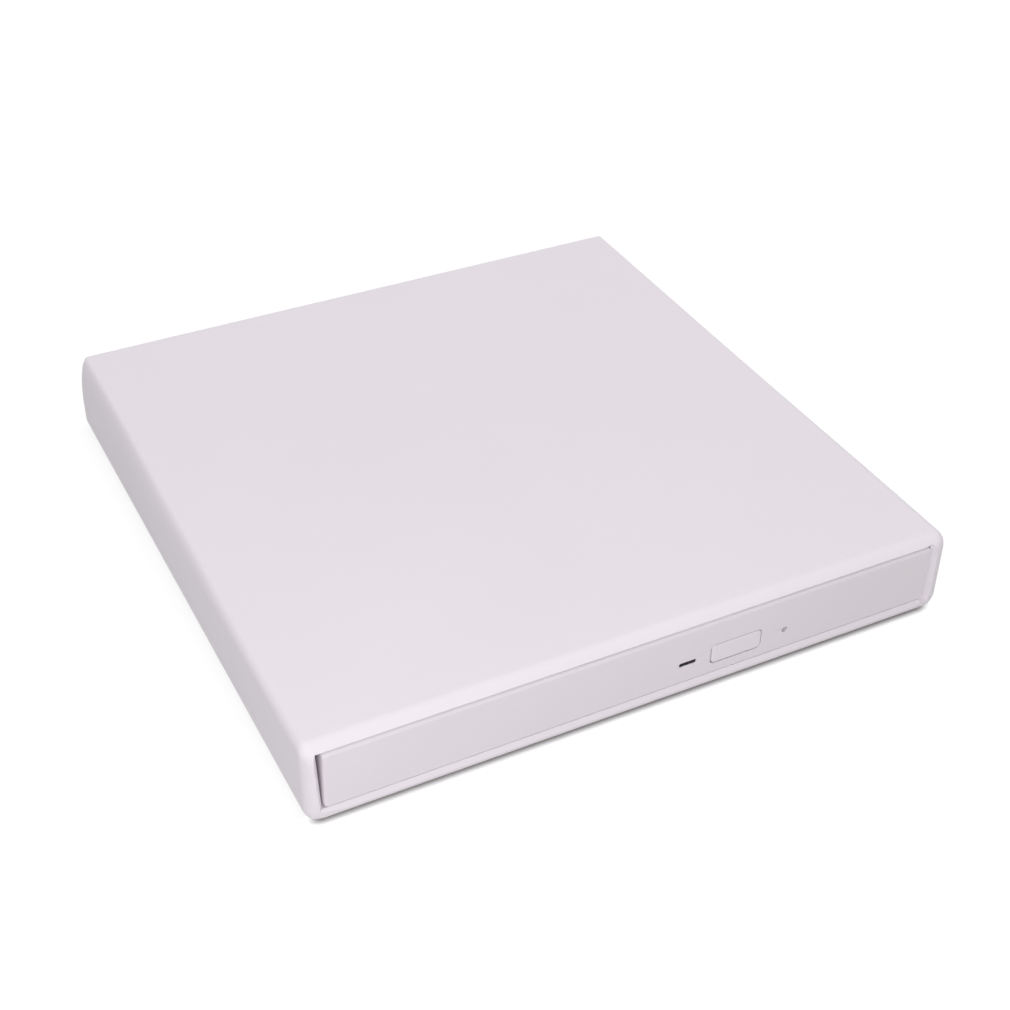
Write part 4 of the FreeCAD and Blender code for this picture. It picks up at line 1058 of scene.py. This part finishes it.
def world():
    """Even light from all sides, seen as plain white."""
    even_light = 0.48
    made = bpy.data.worlds.new("studio")
    scene.world = made
    made.use_nodes = True
    tree = made.node_tree
    tree.nodes.clear()
    light = node_of(tree, "ShaderNodeBackground", Color=grey(1), Strength=even_light)
    white = node_of(tree, "ShaderNodeBackground", Color=grey(1), Strength=1.0)
    mix = node_of(tree, "ShaderNodeMixShader")
    out = node_of(tree, "ShaderNodeOutputWorld")
    tree.links.new(seen_directly(tree), mix.inputs[0])
    tree.links.new(light.outputs[0], mix.inputs[1])
    tree.links.new(white.outputs[0], mix.inputs[2])
    tree.links.new(mix.outputs[0], out.inputs[0])


def lamp(name, place, target, width, height, power, glossy):
    """A rectangular lamp; glossy says whether reflections show it."""
    data = bpy.data.lights.new(name, "AREA")
    data.shape = "RECTANGLE"
    data.size, data.size_y = width, height
    data.energy = power
    made = bpy.data.objects.new(name, data)
    scene.collection.objects.link(made)
    made.visible_glossy = glossy
    made.location = place
    away = Vector(place) - Vector(target)
    made.rotation_euler = away.to_track_quat("Z", "Y").to_euler()


def distance_outside(tree):
    """How far a point of the floor lies outside the case's lower outline, below 0 inside it."""
    # The floor's painted shadow line follows this outline.
    corner = 4
    right_side = x_half - 0.5
    left_front, left_behind, left_run = x_half + 1.0, x_half - 5.5, 7  # the left side runs inwards
    place = node_of(tree, "ShaderNodeNewGeometry")
    apart = node_of(tree, "ShaderNodeSeparateXYZ")
    tree.links.new(place.outputs["Position"], apart.inputs[0])
    x, y = apart.outputs["X"], apart.outputs["Y"]
    left_side = map_range(
        tree,
        y,
        (y_front * mm, (y_front + left_run) * mm),
        (-left_front * mm, -left_behind * mm),
        interpolation_type="SMOOTHSTEP",
    ).outputs["Result"]
    right = math_node(tree, "SUBTRACT", x, right_side * mm)
    left = math_node(tree, "MULTIPLY_ADD", x, -1, left_side)
    across = math_node(tree, "MAXIMUM", right, left)
    along = math_node(tree, "SUBTRACT", math_node(tree, "ABSOLUTE", y), y_back * mm)
    squares = []
    for outside in (across, along):
        over = math_node(tree, "MAXIMUM", math_node(tree, "ADD", outside, corner * mm), 0)
        squares.append(math_node(tree, "POWER", over, 2))
    root = math_node(tree, "SQRT", math_node(tree, "ADD", *squares))
    return math_node(tree, "SUBTRACT", root, corner * mm)


def floor():
    """The floor: grey for the light that it reflects, near white where it is seen.

    Where it is seen, its colour draws a painted shadow: a narrow dark line at the foot of the
    case.
    """
    half = 3.0
    data = bpy.data.meshes.new("floor")
    corners = [(-half, -half, 0), (half, -half, 0), (half, half, 0), (-half, half, 0)]
    data.from_pydata(corners, [], [(0, 1, 2, 3)])
    made = bpy.data.objects.new("floor", data)
    scene.collection.objects.link(made)
    material = bpy.data.materials.new("floor")
    material.use_nodes = True
    tree = material.node_tree
    tree.nodes.clear()
    seen = seen_directly(tree)
    reach = distance_outside(tree)

    def rising(start, end, most):
        """A value that rises from 0 between two distances from the case's outline."""
        limits = start * mm, end * mm
        ramp = map_range(tree, reach, limits, (0, most), interpolation_type="SMOOTHSTEP")
        return ramp.outputs["Result"]

    # Painted shadow: the seen floor is darkened along the case's outline. The lamps don't cast
    # this line; it is painted in the colour.
    painted_shadow_colour = (0.34, 0.31, 0.28, 1)  # the line's darkest colour
    seen_colour_with_painted_shadow = blend(tree, rising(-2.2, -0.2, 1.0), painted_shadow_colour, grey(1.0))
    seen_colour_with_painted_shadow = blend(tree, rising(-0.5, 2.0, 1.0), seen_colour_with_painted_shadow, grey(0.25))
    base = node_of(tree, "ShaderNodeBsdfDiffuse")
    tree.links.new(blend(tree, seen, grey(0.5), seen_colour_with_painted_shadow), base.inputs["Color"])
    # The glow is left out near the case's outline, so the painted shadow line stays dark there.
    levels = math_node(tree, "ADD", rising(-1.5, 1.5, 0.8), rising(60, 500, 0.25))
    glow = node_of(tree, "ShaderNodeEmission", Color=grey(1))
    tree.links.new(math_node(tree, "MULTIPLY", levels, seen), glow.inputs["Strength"])
    both = node_of(tree, "ShaderNodeAddShader")
    out = node_of(tree, "ShaderNodeOutputMaterial")
    tree.links.new(base.outputs[0], both.inputs[0])
    tree.links.new(glow.outputs[0], both.inputs[1])
    tree.links.new(both.outputs[0], out.inputs["Surface"])
    data.materials.append(material)


world()
# Name, place, target, width, height, watts, whether reflections show it
lamp("top_light", (0.06, 0.12, 1.02), (0, 0, 0), 0.8, 0.8, 4.3, True)
lamp("key_light", (-0.21, -0.39, 0.15), (-0.06, -0.07, 0.01), 0.25, 0.2, 0.82, False)
lamp("back_light", (0.25, 0.43, 0.10), (0, 0.05, 0.01), 0.3, 0.1, 0.25, False)
floor()
scene.view_settings.view_transform = "Standard"
